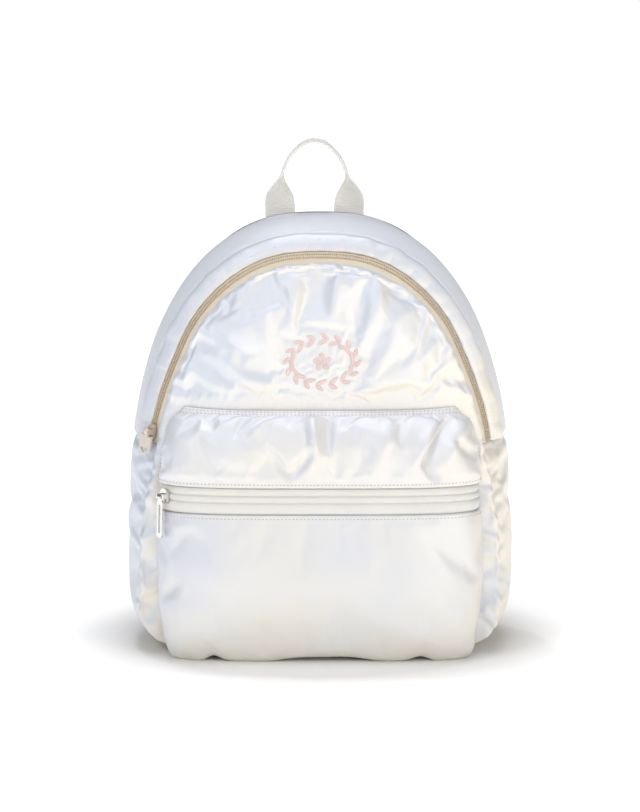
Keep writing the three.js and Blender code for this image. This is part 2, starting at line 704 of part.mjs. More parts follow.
// One shoulder strap with its buckle and webbing, on the right for hand 1 and on the left for -1
function shoulderStrap(hand, label) {
  const lying = seamGap + strapThickness / 2;
  const sewn = seamGap + (strapThickness * strapEndShare) / 2;
  const strapTopHeight = bodyHeight - strapTopDrop;
  const topX = (hand * strapTopSpacing) / 2;
  const footX = (hand * strapFootSpacing) / 2;
  const anchorX = hand * (bodyWidth / 2 - anchorInset);
  const span = strapTopHeight - strapFootHeight;
  const onBack = (x, z, off) => new THREE.Vector3(x, backSkin(x, z) + off, z);
  const foot = onBack(footX, strapFootHeight, lying + footLift);
  const anchor = onBack(anchorX, anchorHeight, seamGap + webbingThickness / 2);
  const down = anchor.clone().sub(foot).normalize();
  const hanging = strapLine.map((row) => {
    const x = THREE.MathUtils.lerp(topX, footX, row.down);
    return onBack(x, strapTopHeight - span * row.down, lying + row.off * strapBow);
  });
  const line = new THREE.CatmullRomCurve3(
    [
      onBack(topX, strapTopHeight, sewn),
      ...hanging,
      foot.clone().addScaledVector(down, -strapFootStraight),
      foot,
    ],
    false,
    "catmullrom",
    lineTension,
  );
  const side = () => new THREE.Vector3(1, 0, 0);
  const narrowing = (u) => Math.max(0, u - strapTaper) / (1 - strapTaper);
  const footWidth = webbingWidth + 2 * seamThickness;
  const taper = (u) => THREE.MathUtils.lerp(strapWidth, footWidth, narrowing(u));
  const growth = ((1 - strapEndShare) * line.getLength()) / strapEndLength;
  const edge = (u) => Math.min(1, strapEndShare + growth * Math.min(u, 1 - u));
  const strapSection = (u) => padSection(taper(u), strapThickness * edge(u));
  addPiece("strap_" + label, sweep(line, side, strapSection, strapSteps), pearl);

  // Frame at the strap's foot: local -Z runs down to the anchor and local Y away from the back
  const across = new THREE.Vector3(1, 0, 0);
  const zAxis = down.clone().negate();
  const yAxis = new THREE.Vector3().crossVectors(zAxis, across).normalize();
  const xAxis = new THREE.Vector3().crossVectors(yAxis, zAxis);
  const hardware = new THREE.Group();
  hardware.name = "hardware_" + label;
  hardware.position.copy(foot);
  hardware.quaternion.setFromRotationMatrix(new THREE.Matrix4().makeBasis(xAxis, yAxis, zAxis));
  backpack.add(hardware);

  // Ladder buckle: three bars and two slots between two rails
  const height = 3 * buckleBar + 2 * buckleSlot;
  const halfWide = webbingWidth / 2 + seamGap + buckleRail;
  const frame = new THREE.Shape();
  frame.moveTo(-halfWide, 0).lineTo(halfWide, 0);
  frame.lineTo(halfWide, -height).lineTo(-halfWide, -height);
  frame.closePath();
  for (let i = 0; i < 2; i++) {
    const top = -buckleBar - i * (buckleBar + buckleSlot);
    const inside = halfWide - buckleRail;
    const slot = new THREE.Path();
    slot.moveTo(-inside, top).lineTo(-inside, top - buckleSlot);
    slot.lineTo(inside, top - buckleSlot).lineTo(inside, top);
    slot.closePath();
    frame.holes.push(slot);
  }
  const buckleTop = -buckleDrop;
  const plate = new THREE.ExtrudeGeometry(frame, { depth: buckleThickness, bevelEnabled: false });
  plate.translate(0, 0, -buckleThickness / 2).rotateX(Math.PI / 2).translate(0, 0, buckleTop);
  addPiece("buckle_" + label, plate, ivory, hardware);

  // A tab of webbing from the strap's underside, round the buckle's top bar and back up over it
  const barZ = buckleTop - buckleBar / 2;
  const turn = Math.hypot(buckleThickness, buckleBar) / 2 + seamGap + webbingThickness / 2;
  const cover = (strapThickness * strapEndShare) / 2 + seamGap + webbingThickness / 2;
  const tabTop = strapEndLength / 2;
  const spread = (tabTop / strapEndLength) * (1 - strapEndShare) * (strapThickness / 2);
  const local = (y, z) => new THREE.Vector3(0, y, z);
  const round = (centre, way) =>
    turnShares.map((share) => {
      const angle = Math.PI * share;
      return local(-turn * Math.cos(angle), centre + way * turn * Math.sin(angle));
    });
  const tab = new THREE.CatmullRomCurve3(
    [
      local(-cover - spread, tabTop),
      local(-Math.max(cover, turn), 0),
      ...round(barZ, -1),
      local(Math.max(cover, turn), 0),
      local(cover + spread, tabTop),
    ],
    false,
    "catmullrom",
    lineTension,
  );
  const wide = () => flatSection(webbingWidth - 2 * tabMargin, webbingThickness);
  addPiece("buckle_tab_" + label, sweep(tab, side, wide, tabSteps, false), cream, hardware);

  // Adjusting webbing: from the anchor, up round the buckle's bottom bar, and down as a free tail
  const bottomBar = buckleTop - height + buckleBar / 2;
  const reach = anchor.distanceTo(foot);
  const webbing = new THREE.CatmullRomCurve3(
    [
      local(0, -reach),
      local(-turn / 3, (bottomBar - 2 * reach) / 3),
      local(-turn, bottomBar - 2 * turn),
      ...round(bottomBar, 1),
      local(turn + tailSpread * (2 * turn / tailLength), bottomBar - 2 * turn),
      local(turn + tailSpread / 2, bottomBar - tailLength / 2),
      local(turn + tailSpread, bottomBar - tailLength),
    ],
    false,
    "catmullrom",
    lineTension,
  );
  const narrow = () => flatSection(webbingWidth, webbingThickness);
  addPiece("webbing_" + label, sweep(webbing, side, narrow, webbingSteps, false), cream, hardware);
}

// Solids joined or cut with manifold-3d
function toManifold(geometry) {
  const bare = new THREE.BufferGeometry();
  const source = geometry.index ? geometry.toNonIndexed() : geometry;
  bare.setAttribute("position", source.getAttribute("position"));
  const merged = mergeVertices(bare, weld);
  const vertProperties = merged.attributes.position.array;
  const triVerts = new Uint32Array(merged.index.array);
  return new wasm.Manifold(new wasm.Mesh({ numProp: 3, vertProperties, triVerts }));
}

function toGeometry(manifold) {
  const mesh = manifold.getMesh();
  const geometry = new THREE.BufferGeometry();
  geometry.setAttribute("position", new THREE.BufferAttribute(mesh.vertProperties, 3));
  geometry.setIndex(new THREE.BufferAttribute(mesh.triVerts, 1));
  geometry.computeVertexNormals();
  return geometry;
}

const joined = (...shapes) => toGeometry(shapes.map(toManifold).reduce((a, b) => a.add(b)));

// A plate in local XZ, from its outline, with its middle plane at y
function plateAt(shape, thickness, y) {
  const plate = new THREE.ExtrudeGeometry(shape, {
    depth: thickness,
    bevelEnabled: false,
    curveSegments: arcSegments,
  });
  return plate.translate(0, 0, -thickness / 2).rotateX(Math.PI / 2).translate(0, y, 0);
}

// A rounded rectangle or slot, from its width, height, top edge and corner radius
function rounded(path, width, height, top, radius) {
  const [half, r] = [width / 2, Math.min(radius, width / 2, height / 2)];
  const bottom = top - height;
  path.moveTo(-half + r, bottom).lineTo(half - r, bottom);
  path.absarc(half - r, bottom + r, r, -Math.PI / 2, 0, false);
  path.lineTo(half, top - r).absarc(half - r, top - r, r, 0, Math.PI / 2, false);
  path.lineTo(-half + r, top).absarc(-half + r, top - r, r, Math.PI / 2, Math.PI, false);
  path.lineTo(-half, bottom + r).absarc(-half + r, bottom + r, r, Math.PI, 1.5 * Math.PI, false);
  path.closePath();
  return path;
}

const eyeInner = pinRadius + pinClearance;
const eyeOuter = eyeInner + eyeWall;
const pinReach = sliderThickness + eyeOuter + pinClearance;
const eyeWidth = sliderWidth - 2 * lugThickness - 2 * pinClearance;
const neckTop = -eyeInner - eyeWall * neckSeatShare;
const neckReach = Math.hypot(lugLength / 2, pinRadius + pinCover) + pinClearance;

// Slider: a rounded body with two lugs that carry a pin across it, at local -Y
function sliderGeometry() {
  const top = sliderLength / 2;
  const body = rounded(new THREE.Shape(), sliderWidth, sliderLength, top, sliderCorner);
  const parts = [plateAt(body, sliderThickness, -sliderThickness / 2)];
  for (const hand of [-1, 1]) {
    const reach = pinReach + pinRadius + pinCover;
    const lug = new THREE.BoxGeometry(lugThickness, reach, lugLength);
    const x = hand * (sliderWidth / 2 - lugThickness / 2);
    parts.push(lug.translate(x, -reach / 2, 0));
  }
  const pinLength = sliderWidth - lugThickness;
  const pin = new THREE.CylinderGeometry(pinRadius, pinRadius, pinLength, pinSides);
  parts.push(pin.rotateZ(Math.PI / 2).translate(0, -pinReach, 0));
  return joined(...parts);
}

// The eye of a pull round the slider's pin, as a short tube along local X
function eyeGeometry() {
  const ring = new THREE.Shape().absarc(0, 0, eyeOuter, 0, 2 * Math.PI, false);
  ring.holes.push(new THREE.Path().absarc(0, 0, eyeInner, 0, 2 * Math.PI, true));
  const tube = new THREE.ExtrudeGeometry(ring, {
    depth: eyeWidth,
    bevelEnabled: false,
    curveSegments: roundSides / 2,
  });
  return tube.translate(0, 0, -eyeWidth / 2).rotateY(Math.PI / 2);
}

// Main pull: a moulded tab with a crescent slot near its round foot
function mainPull() {
  const shape = new THREE.Shape();
  const half = mainPullWidth / 2;
  const foot = neckTop - mainPullLength;
  shape.moveTo(-eyeWidth / 2, neckTop).lineTo(-eyeWidth / 2, -neckReach - mainPullDip);
  shape.lineTo(-half, -neckReach).lineTo(-half, foot + mainPullFoot);
  shape.absellipse(0, foot + mainPullFoot, half, mainPullFoot, Math.PI, 2 * Math.PI, false);
  shape.lineTo(half, -neckReach).lineTo(eyeWidth / 2, -neckReach - mainPullDip);
  shape.lineTo(eyeWidth / 2, neckTop).closePath();
  const slot = new THREE.Path();
  const slotTop = foot + mainPullRim + mainPullSlot;
  slot.moveTo(-half + mainPullRim, slotTop);
  slot.absellipse(0, slotTop, half - mainPullRim, mainPullSlot, Math.PI, 2 * Math.PI, false);
  slot.closePath();
  shape.holes.push(slot);
  return joined(eyeGeometry(), plateAt(shape, pullThickness, 0));
}

// Pocket pull: a long flat loop
function pocketPull() {
  const shape = new THREE.Shape();
  rounded(shape, pocketPullWidth, pocketPullLength, -neckReach, pocketPullCorner);
  const slotLength = pocketPullLength - 2 * pocketPullRim;
  const slotTop = -neckReach - pocketPullRim;
  shape.holes.push(
    rounded(new THREE.Path(), pocketPullSlot, slotLength, slotTop, pocketPullSlot / 2),
  );
  const stemLength = neckTop + neckReach + pullThickness / 2;
  const stem = new THREE.BoxGeometry(eyeWidth, pullThickness, stemLength);
  stem.translate(0, 0, neckTop - stemLength / 2);
  return joined(eyeGeometry(), stem, plateAt(shape, pullThickness, 0));
}

// Stands a group on a skin: local Z runs up the skin and local -Y out of it
function standOn(group, place, up, out, clearance) {
  const zAxis = up.clone().normalize();
  const yAxis = out.clone().negate();
  yAxis.addScaledVector(zAxis, -yAxis.dot(zAxis)).normalize();
  const xAxis = new THREE.Vector3().crossVectors(yAxis, zAxis);
  group.quaternion.setFromRotationMatrix(new THREE.Matrix4().makeBasis(xAxis, yAxis, zAxis));
  group.position.copy(place).addScaledVector(yAxis, -clearance);
}

// Slider and pull of the main zip, near its left end
function mainFastener() {
  const share = 1 - zipEndShare - mainSliderRise / perimeter;
  const across = tapeAcross / 2;
  const place = gussetPoint(share, across);
  const up = gussetPoint(share - turnStep, across).sub(gussetPoint(share + turnStep, across));
  const [low, high] = [across - acrossStep, across + acrossStep];
  const back = gussetPoint(share, high).sub(gussetPoint(share, low));
  const out = new THREE.Vector3().crossVectors(up, back).normalize();
  const group = new THREE.Group();
  group.name = "main_fastener";
  standOn(group, place, up, out, coilHeight - zipRecess + seamGap);
  backpack.add(group);
  addPiece("main_slider", sliderGeometry(), tan, group);
  addPiece("main_pull", mainPull().translate(0, -pinReach, 0), ivory, group);
}

// Slider and pull of the pocket zip, on the pocket's left corner
function pocketFastener() {
  const middle = (belowZip + aboveZip) / 2;
  const place = pocketPoint(pocketSliderPlace, middle);
  const along = pocketPoint(pocketSliderPlace + pocketStep, middle).sub(
    pocketPoint(pocketSliderPlace - pocketStep, middle),
  );
  const up = place.clone().sub(pocketPoint(pocketSliderPlace, (belly + belowZip) / 2));
  const out = new THREE.Vector3().crossVectors(along, up).normalize();
  const group = new THREE.Group();
  group.name = "pocket_fastener";
  standOn(group, place, up, out, pocketZipRibHeight - zipRecess + seamGap);
  backpack.add(group);
  addPiece("pocket_slider", sliderGeometry(), silver, group);
  addPiece("pocket_pull", pocketPull().translate(0, -pinReach, 0), silver, group);
}

addPiece("back_panel", backPanel(), pearl);
addPiece("front_panel", frontPanel(), pearl);
addPiece("base_gusset", baseGusset(), pearl);
addPiece("top_band", topBand(), pearlCool);
addPiece("zip_flap", zipFlap(), pearl);
addPiece("main_zip", mainZip(), tan);
addPiece("pocket_pouch", pocketPouch(), pearl);
addPiece("pocket_zip", pocketZip(), cream);
addPiece("pocket_yoke", pocketYoke(), pearl);
addPiece("handle", handle(), cream);
shoulderStrap(1, "right");
shoulderStrap(-1, "left");
mainFastener();
pocketFastener();

export default backpack;
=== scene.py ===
"""A small puffer backpack in pearl nylon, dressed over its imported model.

Metres, +Z up. The pocket faces -Y and the wearer's back is at +Y.
"""
import math

import bmesh
import bpy
import numpy as np
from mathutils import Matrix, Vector
from mathutils.bvhtree import BVHTree


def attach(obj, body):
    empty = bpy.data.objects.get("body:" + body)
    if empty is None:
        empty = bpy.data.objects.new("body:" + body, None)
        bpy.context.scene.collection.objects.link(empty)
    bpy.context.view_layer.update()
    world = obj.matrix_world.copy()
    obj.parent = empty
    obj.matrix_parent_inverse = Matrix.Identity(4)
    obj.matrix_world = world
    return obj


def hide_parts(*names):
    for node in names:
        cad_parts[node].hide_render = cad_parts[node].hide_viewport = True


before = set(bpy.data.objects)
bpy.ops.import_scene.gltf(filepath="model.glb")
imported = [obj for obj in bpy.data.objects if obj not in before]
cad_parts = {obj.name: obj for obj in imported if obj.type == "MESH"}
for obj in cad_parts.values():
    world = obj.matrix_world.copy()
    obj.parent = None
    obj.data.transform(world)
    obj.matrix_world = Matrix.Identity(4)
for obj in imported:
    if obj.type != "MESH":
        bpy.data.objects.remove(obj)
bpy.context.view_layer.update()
scene = bpy.context.scene
scene.view_settings.view_transform = "Standard"

# Camera, floor and light
# The pack stands on a wide white studio floor. The camera looks at the pocket through a long lens
# from a little above, and soft lamps stand left, right, in front and overhead, one of them behind.
camera_height = 0.80
camera_distance = 3.76
aim_depth = -0.02
aim_height = 0.1755
lens_length = 232.3
camera_data = bpy.data.cameras.new("photo_camera")
camera_data.lens = lens_length
camera_data.clip_end = 50.0
camera = bpy.data.objects.new("photo_camera", camera_data)
camera.location = (0.0, -camera_distance, camera_height)
look = Vector((0.0, aim_depth, aim_height)) - camera.location
camera.rotation_euler = look.to_track_quat("-Z", "Y").to_euler()
scene.collection.objects.link(camera)
scene.camera = camera

floor_reach = 60.0
glow_width = 0.148
glow_depth = 0.146
# How much more the floor glows with distance from the pack, counted in the two sizes above
glow_steps = [
    {"from": 0.90, "to": 1.27, "glow": 0.40},
    {"from": 1.27, "to": 4.5, "glow": 0.45},
]


def add_node(tree, kind, links=(), **values):
    """A new node with its properties set by name, and its inputs by position or name."""
    node = tree.nodes.new(kind)
    for key, value in values.items():
        setattr(node, key, value)
    for key, value in dict(links).items():
        if hasattr(value, "node"):
            tree.links.new(value, node.inputs[key])
        else:
            node.inputs[key].default_value = value
    return node


def reckoned(tree, operation, *values):
    """What a Math node makes of some values."""
    return add_node(tree, "ShaderNodeMath", dict(enumerate(values)), operation=operation).outputs[0]


def new_material(name):
    """A new material, its tree of nodes and its shader."""
    material = bpy.data.materials.new(name)
    material.use_nodes = True
    return material, material.node_tree, material.node_tree.nodes["Principled BSDF"]


def studio_floor():
    """A wide white floor with a painted glow: none under and close to the pack, so its shadow there stays
    dark, and more further away, so the floor turns white and has no horizon.
    """
    corners = [(-floor_reach, -floor_reach), (floor_reach, -floor_reach)]
    corners += [(floor_reach, floor_reach), (-floor_reach, floor_reach)]
    mesh = bpy.data.meshes.new("studio_floor")
    mesh.from_pydata([(x, y, 0.0) for x, y in corners], [], [(0, 1, 2, 3)])
    floor = bpy.data.objects.new("studio_floor", mesh)
    scene.collection.objects.link(floor)
    paper, tree, shader = new_material("studio_paper")
    shader.inputs["Base Color"].default_value = (0.93, 0.93, 0.93, 1)
    shader.inputs["Roughness"].default_value = 0.9
    shader.inputs["Emission Color"].default_value = (1.0, 1.0, 1.0, 1)
    place = add_node(tree, "ShaderNodeTexCoord").outputs["Object"]
    sizes = (glow_width, glow_depth, 1.0)
    squeezed = add_node(tree, "ShaderNodeVectorMath", {0: place, 1: sizes}, operation="DIVIDE")
    reach = add_node(tree, "ShaderNodeVectorMath", {0: squeezed.outputs[0]}, operation="LENGTH")
    glows = []
    for step in glow_steps:
        span = {"From Min": step["from"], "From Max": step["to"], "To Max": step["glow"]}
        rising = add_node(tree, "ShaderNodeMapRange", {"Value": reach.outputs["Value"], **span})
        glows.append(rising.outputs[0])
    tree.links.new(reckoned(tree, "ADD", *glows), shader.inputs["Emission Strength"])
    mesh.materials.append(paper)


studio_floor()

lamp_aim_height = 0.15
world_strength = 0.21
lamps = [
    {"name": "key", "at": (-1.5, -1.9, 1.9), "size": 1.2, "power": 14.0, "colour": (1.0, 0.965, 0.90)},
    {"name": "fill", "at": (1.8, -2.1, 1.0), "size": 1.0, "power": 16.0, "colour": (1.0, 0.95, 0.87)},
    {"name": "front", "at": (0.0, -3.0, 1.5), "size": 1.4, "power": 6.0, "colour": (1.0, 0.99, 0.97)},
    {"name": "top", "at": (0.0, -0.3, 2.1), "size": 1.2, "power": 14.0, "colour": (0.99, 0.985, 1.0)},
    {"name": "shadow", "at": (-0.50, 0.80, 3.0), "size": 0.10, "power": 9.0, "colour": (0.96, 0.98, 1.0)},
]
for lamp in lamps:
    light = bpy.data.lights.new(lamp["name"], "AREA")
    light.size = lamp["size"]
    light.energy = lamp["power"]
    light.color = lamp["colour"]
    lamp_object = bpy.data.objects.new(lamp["name"], light)
    lamp_object.location = lamp["at"]
    toward = Vector((0.0, 0.0, lamp_aim_height)) - Vector(lamp["at"])
    lamp_object.rotation_euler = toward.to_track_quat("-Z", "Y").to_euler()
    scene.collection.objects.link(lamp_object)

world = bpy.data.worlds.new("studio")
world.use_nodes = True
sky = world.node_tree.nodes["Background"]
sky.inputs["Color"].default_value = (0.93, 0.95, 1.0, 1)
sky.inputs["Strength"].default_value = world_strength
scene.world = world

# Back panel
# The wearer's side: nylon over wadding in one padded piece, cut to the body's outline, turned in
# at its edge and sewn to the strip that goes round the body.
body_width = 0.276
body_height = 0.314
body_depth = 0.096
shoulder_height = 0.112
corner_width = 0.032
corner_height = 0.038
crown_power_across = 2.5
crown_power_up = 2.05
base_sag = 0.0012
seam_gap = 0.00035
seam_thickness = 0.003
pad_thickness = 0.008
panel_centre = 0.146
back_crown = 0.006
back_fullness = 6.0
seam_insets = [
    {"up": 0.0, "front": 0.07, "back": 0.085, "fullness": 2.3},
    {"up": 0.25, "front": 0.09, "back": 0.1, "fullness": 2.3},
    {"up": 0.5, "front": 0.19, "back": 0.1, "fullness": 2.0},
    {"up": 0.75, "front": 0.24, "back": 0.07, "fullness": 1.6},
    {"up": 1.0, "front": 0.31, "back": 0.045, "fullness": 1.4},
]
outline_steps = 8000


def outline_points(t):
    """The body's widest outline, counterclockwise from the middle of the base: a straight base,
    an elliptic corner, a straight side and a rounded crown, and the same mirrored."""
    half = body_width / 2
    crown = body_height - shoulder_height
    lengths = [
        half - corner_width,
        math.pi / 4 * (corner_width + corner_height),
        shoulder_height - corner_height,
        math.pi / 4 * (half + crown),
    ]
    base, corner, side, _ = np.cumsum(lengths) / sum(lengths)
    s = 2 * np.minimum(t, 1 - t)
    bend = np.pi / 2 * np.clip((s - base) / (corner - base), 0, 1)
    arch = np.pi / 2 * np.clip((s - side) / (1 - side), 0, 1)
    straight = corner_height + (shoulder_height - corner_height) * (s - corner) / (side - corner)
    x = np.select(
        [s <= base, s <= corner, s <= side],
        [(half - corner_width) * s / base, half - corner_width * (1 - np.sin(bend)), half + 0 * s],
        half * np.abs(np.cos(arch)) ** (2 / crown_power_across),
    )
    z = np.select(
        [s <= base, s <= corner, s <= side],
        [0 * s, corner_height * (1 - np.cos(bend)), straight],
        shoulder_height + crown * np.sin(arch) ** (2 / crown_power_up),
    )
    return np.where(t > 0.5, -x, x), z


def even_outline():
    """The outline at even steps of its length, with its direction at each step."""
    x, z = outline_points(np.linspace(0, 1, outline_steps + 1))
    length = np.concatenate([[0], np.cumsum(np.hypot(np.diff(x), np.diff(z)))])
    share = np.linspace(0, 1, outline_steps + 1)
    x, z = np.interp(share, length / length[-1], x), np.interp(share, length / length[-1], z)
    reach = 12
    dx = np.roll(x[:-1], -reach) - np.roll(x[:-1], reach)
    dz = np.roll(z[:-1], -reach) - np.roll(z[:-1], reach)
    size = np.hypot(dx, dz)
    dx, dz = np.append(dx / size, dx[0] / size[0]), np.append(dz / size, dz[0] / size[0])
    return share, x, z, dx, dz, length[-1]


edge_share, edge_x, edge_z, edge_dx, edge_dz, perimeter = even_outline()


def smoothstep(value, low, high):
    """0 below low and 1 above high, with an even ease between."""
    t = np.clip((value - low) / (high - low), 0, 1)
    return t * t * (3 - 2 * t)


def between(table, column, up):
    """A table's column at some heights, eased from row to row."""
    result = np.full(np.shape(up), float(table[0][column]))
    for low, high in zip(table, table[1:]):
        result += (high[column] - low[column]) * smoothstep(up, low["up"], high["up"])
    return result


def gusset_point(share, across, depth=0.0):
    """Points of the strip round the body: share goes round the outline, across from the front
    seam at 0 to the back seam at 1, and depth goes in from the cloth."""
    turn = np.mod(share, 1.0)
    x, z = np.interp(turn, edge_share, edge_x), np.interp(turn, edge_share, edge_z)
    dx, dz = np.interp(turn, edge_share, edge_dx), np.interp(turn, edge_share, edge_dz)
    up = z / body_height
    front = between(seam_insets, "front", up) * body_depth
    back = between(seam_insets, "back", up) * body_depth
    pinched = np.abs(2 * across - 1) ** between(seam_insets, "fullness", up)
    inset = (front + (back - front) * across) * pinched + depth
    height = np.maximum(z + dx * inset - base_sag, np.maximum(depth, 0))
    y = (across - 0.5) * body_depth + 0 * inset
    return np.stack([x - dz * inset, y, height], axis=-1)


def share_out(across):
    """A function that says how far out a place lies on a panel, 0 at its centre and 1 at its edge."""
    rim = gusset_point(edge_share[:-1], across)
    angle = np.arctan2(rim[:, 2] - panel_centre, rim[:, 0])
    reach = np.hypot(rim[:, 0], rim[:, 2] - panel_centre)
    order = np.argsort(angle)
    angle, reach = angle[order], reach[order]

    def measure(x, z):
        at = np.interp(np.arctan2(z - panel_centre, x), angle, reach, period=2 * np.pi)
        return np.hypot(x, z - panel_centre) / at

    return measure


back_out = share_out(1.0)


def back_skin(x, z):
    """How far back the padded back panel reaches at a place."""
    rise = 1 - np.minimum(1, back_out(x, z)) ** back_fullness
    return body_depth / 2 + seam_gap + seam_thickness + back_crown * rise


def ring_cells(columns, row):
    """The cells between one ring of points and the next."""
    here = row * columns + np.arange(columns)
    after = row * columns + (np.arange(columns) + 1) % columns
    return np.stack([here, after, after + columns, here + columns], axis=1)


def grid_cells(ids):
    """The cells of a grid of point numbers."""
    square = [ids[:-1, :-1], ids[1:, :-1], ids[1:, 1:], ids[:-1, 1:]]
    return np.stack([part.ravel() for part in square], axis=1)


def panel_net(across, columns, rows, inward, bias):
    """A net over a panel: rings of cells along its edge, and a square patch in the middle.
    It gives each point's place across and up, its distance from the edge, the cells and the rim."""
    share = np.arange(columns) / columns
    rim = gusset_point(share, across)[:, [0, 2]]
    centre = np.array([0.0, panel_centre])
    steps = inward * (np.arange(rows + 1) / rows) ** bias
    rings = rim[None] + (centre - rim)[None] * steps[:, None, None]
    points = rings.reshape(-1, 2)
    n = columns // 4
    last = rows * columns
    ids = np.full((n + 1, n + 1), -1)
    k = np.arange(n + 1)
    ids[k, 0] = last + (k - n // 2) % columns
    ids[n, k] = last + (n // 2 + k) % columns
    ids[k, n] = last + (5 * n // 2 - k) % columns
    ids[0, k] = last + (7 * n // 2 - k) % columns
    s = np.linspace(0, 1, n + 1)[:, None, None]
    t = np.linspace(0, 1, n + 1)[None, :, None]
    low, high = points[ids[:, 0]][:, None], points[ids[:, n]][:, None]
    left, right = points[ids[0, :]][None], points[ids[n, :]][None]
    patch = (1 - t) * low + t * high + (1 - s) * left + s * right
    patch -= (1 - s) * (1 - t) * points[ids[0, 0]] + s * t * points[ids[n, n]]
    patch -= s * (1 - t) * points[ids[n, 0]] + (1 - s) * t * points[ids[0, n]]
    inside = np.arange((n - 1) ** 2).reshape(n - 1, n - 1) + len(points)
    ids[1:n, 1:n] = inside
    points = np.vstack([points, patch[1:n, 1:n].reshape(-1, 2)])
    cells = [ring_cells(columns, row) for row in range(rows)] + [grid_cells(ids)]
    return points, np.vstack(cells), np.arange(columns)


def strip_net(columns, rows):
    """A net over a strip: each point's shares along and across it, the cells and the rim."""
    u, v = np.meshgrid(np.linspace(0, 1, columns + 1), np.linspace(0, 1, rows + 1), indexing="ij")
    ids = np.arange(u.size).reshape(u.shape)
    rim = np.concatenate([ids[:, 0], ids[-1, 1:], ids[-2::-1, -1], ids[0, -2:0:-1]])
    return u.ravel(), v.ravel(), grid_cells(ids), rim


def mesh_piece(name, verts, faces, material, flat=None):
    """A piece on the body, with its faces turned outwards. flat has each point's place on the flat
    cloth, for the weave."""
    mesh = bpy.data.meshes.new(name)
    mesh.from_pydata(np.asarray(verts).tolist(), [], faces)
    turned = bmesh.new()
    turned.from_mesh(mesh)
    bmesh.ops.recalc_face_normals(turned, faces=turned.faces)
    turned.to_mesh(mesh)
    turned.free()
    weave = mesh.uv_layers.new(name="weave")
    if flat is not None:
        corner = np.empty(len(mesh.loops), int)
        mesh.loops.foreach_get("vertex_index", corner)
        weave.data.foreach_set("uv", flat[corner].astype(np.float32).ravel())
    mesh.shade_smooth()
    mesh.materials.append(material)
    piece = bpy.data.objects.new(name, mesh)
    scene.collection.objects.link(piece)
    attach(piece, "root")
    return piece


def closed_piece(name, outer, inner, cells, rim, flat, material, smooth=1):
    """A closed wall from an outer and an inner skin on the same net."""
    count = len(outer)
    after = np.roll(rim, -1)
    edge = np.stack([after, rim, rim + count, after + count], axis=1)
    faces = np.vstack([cells, cells[:, ::-1] + count, edge]).tolist()
    piece = mesh_piece(name, np.vstack([outer, inner]), faces, material, np.vstack([flat, flat]))
    if smooth:
        finer = piece.modifiers.new("finer", "SUBSURF")
        finer.levels = smooth
        finer.render_levels = smooth
    return piece


def node_group(name, ins, outs):
    """A new shader node group with named inputs and outputs, and its two end nodes."""
    group = bpy.data.node_groups.new(name, "ShaderNodeTree")
    for label, kind, value in ins:
        socket = group.interface.new_socket(label, in_out="INPUT", socket_type=kind)
        if value is not None:
            socket.default_value = value
    for label, kind in outs:
        group.interface.new_socket(label, in_out="OUTPUT", socket_type=kind)
    return group, group.nodes.new("NodeGroupInput"), group.nodes.new("NodeGroupOutput")


def weave_group():
    """Height of a plain weave of two threads, from a place on the flat cloth."""
    group, start, end = node_group(
        "plain_weave",
        [("Place", "NodeSocketVector", None), ("Pitch", "NodeSocketFloat", 0.0006)],
        [("Height", "NodeSocketFloat")],
    )
    split = add_node(group, "ShaderNodeSeparateXYZ", {0: start.outputs["Place"]})
    turn = reckoned(group, "DIVIDE", 2 * math.pi, start.outputs["Pitch"])
    phases = [reckoned(group, "MULTIPLY", split.outputs[axis], turn) for axis in "XY"]
    waves = [reckoned(group, "SINE", phase) for phase in phases]
    group.links.new(reckoned(group, "MULTIPLY", *waves), end.inputs["Height"])
    return group


plain_weave = weave_group()
cloud_size = 9.0
cloud_contrast = 2.6
# Painted light: how strongly facing up, and facing left by the negative share, turns the colour to the
# painted cool tint
painted_cool_above = 1.5
painted_cool_aside = -1.0


def pearl_group():
    """Colour of the nylon with painted light: a painted cool tint where the cloth faces up or left, for the
    cool light from above, a painted warm tint where it faces down or right, for the warm bounce and fill,
    and broad clouds of both as the coating's own uneven tone."""
    group, start, end = node_group(
        "pearl_clouds_and_painted_light",
        [
            ("Place", "NodeSocketVector", None),
            ("Cool", "NodeSocketColor", (0.80, 0.83, 0.92, 1)),
            ("Plain", "NodeSocketColor", (0.90, 0.90, 0.90, 1)),
            ("Warm", "NodeSocketColor", (0.94, 0.87, 0.76, 1)),
            ("Cloud Size", "NodeSocketFloat", cloud_size),
        ],
        [("Color", "NodeSocketColor"), ("Cloud", "NodeSocketFloat")],
    )
    # Painted light: the surface's facing picks a painted cool tint above and a painted warm tint below
    facing = add_node(group, "ShaderNodeNewGeometry")
    tilt = add_node(group, "ShaderNodeSeparateXYZ", {0: facing.outputs["Normal"]})
    noise = {"Vector": start.outputs["Place"], "Scale": start.outputs["Cloud Size"], "Detail": 2.0}
    clouds = add_node(group, "ShaderNodeTexNoise", noise)
    centred = reckoned(group, "SUBTRACT", clouds.outputs["Fac"], 0.5)
    wide = reckoned(group, "MULTIPLY", centred, cloud_contrast)
    upward = reckoned(group, "MULTIPLY", tilt.outputs["Z"], painted_cool_above)
    aside = reckoned(group, "MULTIPLY_ADD", tilt.outputs["X"], painted_cool_aside, upward)
    both = reckoned(group, "ADD", wide, aside)
    colour = start.outputs["Plain"]
    for label, low, high in (("Cool", 0.0, 0.9), ("Warm", 0.05, -0.8)):
        span = {"Value": both, "From Min": low, "From Max": high}
        share = add_node(group, "ShaderNodeMapRange", span, interpolation_type="SMOOTHSTEP")
        blend = {0: share.outputs[0], 6: colour, 7: start.outputs[label]}
        colour = add_node(group, "ShaderNodeMix", blend, data_type="RGBA").outputs[2]
    group.links.new(colour, end.inputs["Color"])
    group.links.new(clouds.outputs["Fac"], end.inputs["Cloud"])
    return group


pearl_clouds_and_painted_light = pearl_group()
nylon_pitch = 0.0007
crease_noise = {"Scale": 75.0, "Detail": 3.0, "Roughness": 0.55, "Distortion": 0.6}
smoothest = 0.43
roughest = 0.58


